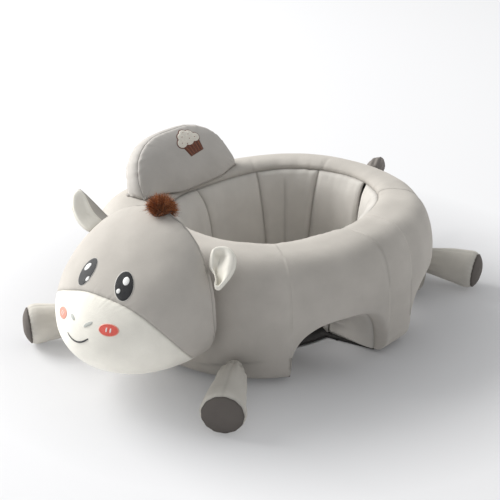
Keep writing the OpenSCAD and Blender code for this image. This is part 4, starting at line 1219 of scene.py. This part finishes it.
def cake(skin):
    """A pleated cup with piled cream and a few flecks on top."""
    cup = [(-10.4, -9.2), (10.9, -9.6), (13.0, 3.0), (-14.2, 3.2)]
    stitched("patch_cup_stitch", skin, quad_shape(cup, 12), 0.9, "brown", ["patch_cup"])
    for k in range(5):
        low, high = (k - 2) * 4.1, (k - 2) * 5.0 - 0.6
        pleat = [(low - 0.5, -8.4), (low + 0.5, -8.4), (high + 0.6, 1.4), (high - 0.6, 1.4)]
        stitched(f"patch_pleat_{k}", skin, quad_shape(pleat, 6), 1.35, "light brown")
    puffs = [
        (-11.6, 7.4, 7.2, 5.0), (-0.8, 6.6, 7.4, 5.2), (9.4, 6.2, 6.6, 4.6),
        (-6.6, 12.6, 6.6, 4.8), (4.4, 11.8, 6.8, 4.6), (-1.2, 15.6, 5.6, 3.8),
    ]
    for k, (x, z, w, h) in enumerate(puffs):
        stitched(f"patch_edge_{k}", skin, round_shape(x, z, w + 0.9, h + 0.9), 0.75, "brown")
    for k, puff in enumerate(puffs):
        nodes = ["patch_cream"] if k == 0 else []
        stitched(f"patch_cream_{k}", skin, round_shape(*puff), 1.25 + 0.05 * k, "cream", nodes)
    flecks = [(-12, 7.5), (-6, 4.5), (1, 8), (9, 6.5), (-7, 13), (3.5, 12.5), (-1, 16.4)]
    for k, at in enumerate(flecks):
        stitched(f"patch_fleck_{k}", skin, round_shape(*at, 0.9, 0.45, 14), 1.75, "light brown")


# Legs and tail


def oriented(p, root, point, dip):
    """Local Z to a direction from the front towards the tail, dipped below level."""
    return root + turned(turned(p, "y", 90 + dip), "z", point - 90)


def leg_form(name):
    """A leg's root, where it points, its dip down to the floor, its length and its end's softness."""
    _, point, _, length = LEGS[name]
    dip = np.degrees(np.arcsin((LEG_ROOT_Z - SOLE_R - 0.3) / length))
    return LEG_ROOTS[name], point, dip, length, 4.5 if name == "foreleg_left" else 8.0


def leg_cover(name, seed):
    """The leg's fabric, from its gathered root to the edge it turns in round the sole."""
    root, point, dip, length, soft = leg_form(name)
    th = around(96)
    ball = np.linspace(-90, 0, 14)
    f = np.linspace(0, 1, 44)[1:]
    swell = 0.26 * smooth(f / 0.12) + 0.74 * f**1.1
    r = np.concatenate([LEG_ROOT_R * cos(ball), mix(LEG_ROOT_R, SOLE_R, swell)])
    z = np.concatenate([LEG_ROOT_R * sin(ball), f * (length - 1.5)])
    # The cover turns in round the sole, to a flat end under it
    r = r - soft * (1 - np.sqrt(1 - np.clip((z - length + 2 * soft) / (2 * soft), 0, 0.9) ** 2))
    cap = np.linspace(1, 0, 8)[1:]
    r = np.concatenate([r, r[-1] * cap])[None, :] + 0 * th
    z = np.concatenate([z, np.full(len(cap), length - 1.5)])[None, :] + 0 * th
    # Gathers round the root, and soft dents over the rest
    gather = np.exp(-np.abs(z - 6) / 13) * smooth((z + 12) / 8)
    fold = np.sin(np.radians(th * 11) + 2.0 * noise3(stack(sin(th) * 2, cos(th) * 2, seed + 0 * z), 71))
    d = -1.5 * gather * (0.6 + fold) - 1.6 * bump(z - 4, 7)
    q = polar(r, th, z)
    dents = 1.5 * noise3(q / 34 + seed, 72) + 0.5 * noise3(q / 13 + seed, 73)
    d += smooth(z / 20) * smooth((length - z) / 6) * dents
    to_sole = np.abs(z - (length - 1.5))
    rim = r > SOLE_R * 0.82
    puckers = 0.5 * sin(th * 26) * np.exp(-to_sole / 6)
    d += np.where(rim, puckers - 1.4 * bump(to_sole, 2.4), 0)
    d = np.where(z > length - 1.6, np.where(rim, d, 0), d)
    # The cover's own seam runs along its underside
    under = bump(np.radians(th - 180) * r, 2.0) * smooth((z + 5) / 10)
    d -= 0.8 * under
    r = np.maximum(r + d * (r > 1), 0)
    w = oriented(polar(r, th, z), root, point, dip)
    # The end rests on the floor, a little flattened
    w[..., 2] = np.maximum(w[..., 2], 0.5)
    # Painted shade at the sole's seam, in the troughs of the root's gathers and along the underside seam
    seam = np.minimum(1, 0.55 * bump(to_sole, 1.6) * rim + 0.5 * gather * smooth(-fold) + 0.3 * under)
    place(solid(f"{name}_skin", w, seam), name, LIMB, [f"{name}_cover", f"{name}_stuffing"])


def leg_sole(name, seed):
    """A small domed cushion with a turned-in edge."""
    root, point, dip, length, soft = leg_form(name)
    th = around(96)
    domed = np.linspace(0, 0.97, 18)
    f = np.concatenate([domed, [1.0, 0.985, 0.97, 0.0]])[None, :]
    top = length - np.concatenate([0.6 - soft * (1 - domed**2.6), [1.0, 2.2, 2.6, 2.6]])[None, :]
    r = f * (SOLE_R - 0.55 * soft) * (1 + 0.012 * sin(th * 13) * f**6)
    q = polar(r, th, top)
    crumple = np.where(f < 0.99, 0.55 * noise3(q / 11 + seed, 75) * smooth((1 - f) * 5), 0)
    q[..., 2] += crumple * (np.arange(f.shape[1]) < len(domed))
    w = oriented(q, root, point, dip)
    w[..., 2] = np.maximum(w[..., 2], 0.4)
    # Painted shade round the sole's turned-in edge
    ob = solid(f"{name}_sole_skin", w, 0.6 * bump((1 - f) * SOLE_R, 1.3) + 0 * th)
    place(ob, name, DARK, [f"{name}_sole"])


def tail_piece(name, r, z, th, mat, nodes, shade=None):
    w = oriented(polar(r, th, z), TAIL_AT, TAIL_POINT, -TAIL_UP)
    place(solid(name, w, shade), "tail", mat, nodes)


def tail():
    """A thin limb, and a tuft of locks at its end."""
    th = around(64)
    ball = np.linspace(-90, 0, 12)
    end = TAIL_LEN * 0.6
    f = np.linspace(0, 1, 30)[1:]
    cap = TAIL_END_R * np.linspace(1, 0, 5)[1:]
    r = np.concatenate([TAIL_R * cos(ball), mix(TAIL_R, TAIL_END_R, f), cap])[None, :] + 0 * th
    z = np.concatenate([TAIL_R * sin(ball), f * (end + 2), np.full(4, end + 2)])[None, :] + 0 * th
    q = polar(r, th, z)
    d = 0.8 * noise3(q / 16, 81) + 0.6 * sin(th * 7) * np.exp(-np.abs(z) / 9)
    d = d * smooth((end - z) / 6)
    tail_piece("tail_skin", np.maximum(r + d * (r > 1), 0), z, th, BODY, ["tail_cover", "tail_stuffing"])
    f = np.linspace(0, 1, 44)
    z0 = end + 0.4
    r = TUFT_R * np.maximum(np.sin(np.pi * mix(0.16, 1, f) ** 0.75), 0) ** 0.7
    r[-1] = 0
    r = np.concatenate([[0], r])[None, :] + 0 * th
    z = np.concatenate([[z0], z0 + (TAIL_LEN - z0) * f])[None, :] + 0 * th
    q = polar(r, th, z)
    lock = 0.9 * np.sin(np.radians(th * 9) + z / 9) * smooth((z - z0) / 6) + 0.6 * noise3(q / 7, 82)
    r = np.maximum(r + lock * (r > 2), 0)
    # Painted shade where the tuft meets the tail
    tail_piece("tail_tuft_skin", r, z, th, TAIL_DARK, ["tail_tuft"], 0.5 * bump(z - z0, 2.5))


# Seat pad and underside


def seat_pad():
    """The cushion at the bottom of the well."""
    th = around(160)
    rows = 40
    f = np.linspace(0, 1, rows)
    r = reach(th, WELL) - 1.5
    top = np.concatenate([f[:-1], [1.0, 1.0, 0.99, 0.97, 0.9, 0.5, 0.0]])[None, :]
    crown = 20 * (1 - 0.35 * f[:-1] ** 4)
    z = np.concatenate([crown, [11.5, 8, 3.5, 1.0, 0.1, 0.1, 0.1]])[None, :] + FLOOR_Z
    x, y = top * r * sin(th), -top * r * cos(th)
    q = stack(x, y, z + 0 * th)
    upper = (np.arange(top.shape[1]) < rows - 1)[None, :]
    rim = smooth((0.97 - top) * 12)
    # Quilted into channels that run from front to back, with painted shade in the channels
    quilt = bump((x + 23) % 46 - 23, 3.0)
    soft = 1.2 * noise3(q / 40, 91) + 0.5 * noise3(stack(x / 8, y / 40, 0 * x), 92)
    q[..., 2] += np.where(upper, rim * (soft - 5.5 * quilt), 0)
    seam = np.where(upper, 0.6 * quilt * rim, 0)
    ob = solid("seat_pad_skin", q, seam)
    place(ob, "seat", BODY_IN, ["seat_pad"])


def on_plane(a, r):
    return stack(r * sin(a), -r * cos(a))


def base_outline():
    """The underside's edge, once round, with a notch under each arch."""
    # Drawn in from the hem, less so past the closure's slot
    inset = lambda a: 26 - 15 * smooth((34 - np.abs(a - 90)) / 8)
    outer = lambda st: on_plane(st[:, 0], reach(st[:, 0], RING) - inset(st[:, 0]))
    inner = lambda st: on_plane(st[:, 1], reach(st[:, 1], WELL) + 22)
    post, side = HALF[HALF[:, 0] < ARCH_FROM - 0.01], HALF[HALF[:, 0] > ARCH_TO + 0.01]
    arch = arch_stations(25)
    parts = [(outer, post), (outer, arch[:1]), (inner, arch), (outer, arch[-1:]), (outer, side)]
    right = [edge(st) for edge, st in parts]
    left = [edge(st * [-1, -1, 1])[::-1] for edge, st in parts[::-1]]
    line = np.concatenate(right + left)
    return line[np.linalg.norm(line - np.roll(line, 1, 0), axis=1) > 0.3]


def base_pad(line):
    """A flat sheet with a rounded edge and a slot for the closure."""
    slot = np.array([[167.5, -75], [183.5, -75], [183.5, 75], [167.5, 75.0]])
    heights, insets = np.array([0.4, 1.1, 2.9, 3.9]), np.array([1.2, 0, 0, 1.2])
    rows = len(heights)
    way = unit(np.roll(line, -1, 0) - np.roll(line, 1, 0))
    drawn_in = line - stack(way[:, 1], -way[:, 0]) * insets[:, None, None]
    loops = [stack(p[..., 0], p[..., 1], heights[:, None]) for p in (drawn_in, slot[None])]
    counts = [len(line), len(slot)]
    starts = [0, rows * len(line)]
    faces = [quad for n, first in zip(counts, starts) for quad in (walls(rows, n) + first).tolist()]
    for row, turn in ((0, 1), (rows - 1, -1)):
        index = np.concatenate([first + row * n + np.arange(n) for n, first in zip(counts, starts)])
        edges = [[Vector(point) for point in loop[row]] for loop in loops]
        faces += [index[list(tri[::turn])].tolist() for tri in tessellate_polygon(edges)]
    ob = finish_mesh("base_pad_sheet", np.concatenate([loop.reshape(-1, 3) for loop in loops]), faces)
    ob.data.polygons.foreach_set("use_smooth", [False] * len(ob.data.polygons))
    place(ob, "seat", BASE, ["base_pad"])


def grip_dots(line):
    """Rubber dots on a staggered grid under the base, clear of its outline and of the closure."""
    xs, ys = np.meshgrid(np.arange(-250, 251, 13.0), np.arange(-216, 217, 11.3))
    xs = xs + np.where(np.arange(len(ys)) % 2, 6.5, 0)[:, None]
    dots = np.stack([xs.ravel(), ys.ravel()], -1)
    inside = np.array([in_outline(p, line) and np.min(np.linalg.norm(line - p, axis=1)) > 9 for p in dots])
    clear = (np.abs(dots[:, 0] - 175.5) >= 13) | (np.abs(dots[:, 1]) >= 82)
    dots = dots[inside & clear, None, None]
    th = around(10).T
    radii, heights = (np.array(v)[:, None] for v in ([1.9, 1.7, 1.2], [0.45, 0.2, 0.05]))
    p = stack(dots[..., 0] + radii * cos(th), dots[..., 1] + radii * sin(th), heights)
    place(prisms("base_grip_dots", p), "seat", DOTS)


def in_outline(p, line):
    """Whether a line from the point crosses the outline an odd number of times."""
    a, b = line, np.roll(line, -1, 0)
    cross = (a[:, 1] > p[1]) != (b[:, 1] > p[1])
    x = a[:, 0] + (p[1] - a[:, 1]) / np.where(cross, b[:, 1] - a[:, 1], 1) * (b[:, 0] - a[:, 0])
    return bool(np.sum(cross & (x > p[0])) % 2)


# Stage


def floor():
    """A pale floor, painted a little brighter to the camera away from the piece by a glow that only the
    camera sees.
    """
    bpy.ops.mesh.primitive_plane_add(size=14)
    plane = bpy.context.object
    plane.name = "floor"
    n = Nodes("floor pale")
    grain = n.noise(3, 2)
    path = n.add("ShaderNodeLightPath").outputs
    seen = n.math("MAXIMUM", path["Is Camera Ray"], path["Is Glossy Ray"])
    seen = n.math("MAXIMUM", seen, path["Is Transmission Ray"])
    away = n.add("ShaderNodeVectorMath", {0: n.coords}, operation="LENGTH").outputs["Value"]
    # Painted light: the floor glows for the camera, more the further it is from the piece
    painted_floor_glow = n.math("MULTIPLY", n.ramp(away, 0.14, 0.5), 0.4)
    pale = n.blend(grain, srgb(238, 238, 240), srgb(243, 243, 245))
    n.done(n.blend(seen, pale, (0.45, 0.45, 0.46, 1)), grain, 0.0005, 0.05, 0.9, (0, 0.5), 0.1)
    n.shader.inputs["Emission Color"].default_value = (1, 1, 1, 1)
    n.tree.links.new(n.math("MULTIPLY", seen, painted_floor_glow), n.shader.inputs["Emission Strength"])
    plane.data.materials.append(n.mat)
    plane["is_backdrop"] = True


def lights():
    """An even pale sky, a large soft light behind on the head's side, and a weak one opposite."""
    scene = bpy.context.scene
    world = scene.world or bpy.data.worlds.new("world")
    scene.world = world
    world.use_nodes = True
    sky = world.node_tree.nodes["Background"].inputs
    sky["Color"].default_value = (0.97, 0.985, 1, 1)
    sky["Strength"].default_value = 0.5
    for at, power, colour in (((-0.8, 2.9, 1.95), 192, (1, 0.995, 0.98)), ((2.3, -1.3, 1.1), 9, (1, 1, 1))):
        light = bpy.data.lights.new("softbox", "AREA")
        light.size, light.energy, light.color = 2.2, power, colour
        ob = bpy.data.objects.new("softbox", light)
        ob.location = at
        ob.rotation_euler = (Vector((0, 0, 0.1)) - Vector(at)).to_track_quat("-Z", "Y").to_euler()
        scene.collection.objects.link(ob)
    scene.view_settings.view_transform = "Standard"


def camera():
    cam = bpy.data.cameras.new("camera")
    cam.sensor_width = 36
    cam.lens = 94.2
    ob = bpy.data.objects.new("camera", cam)
    back = Vector((-0.6763, -0.5938, 0.4369)).normalized()
    ob.location = Vector((-0.051, 0.014, 0.10)) + back * 1.899
    ob.rotation_euler = (-back).to_track_quat("-Z", "Y").to_euler()
    bpy.context.scene.collection.objects.link(ob)
    bpy.context.scene.camera = ob


camera()
floor()
lights()
ring_cover()
for side in (-1, 1):
    arch_liner(side)
for k, (name, first, last) in enumerate(LININGS):
    lining(name, first, last, k)
head_panel()
muzzle_panel()
nape_panel()
face()
mouth()
fur_tuft()
for name in EAR_PLANES:
    ear(name)
cake(headrest())
for k, name in enumerate(LEGS):
    leg_cover(name, k * 7.3)
    leg_sole(name, k * 7.3)
tail()
seat_pad()
underside = base_outline()
base_pad(underside)
grip_dots(underside)
for name, mat in (("zip_tapes", BASE), ("zip_coil", DOTS), ("zip_slider", METAL), ("zip_pull", METAL)):
    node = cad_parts[name]
    node.data.materials.clear()
    node.data.materials.append(mat)

plain = lambda box: [[float(c) for c in corner] for corner in box]
{"cad": plain(CAD_BOX), "visual": plain(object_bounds())}
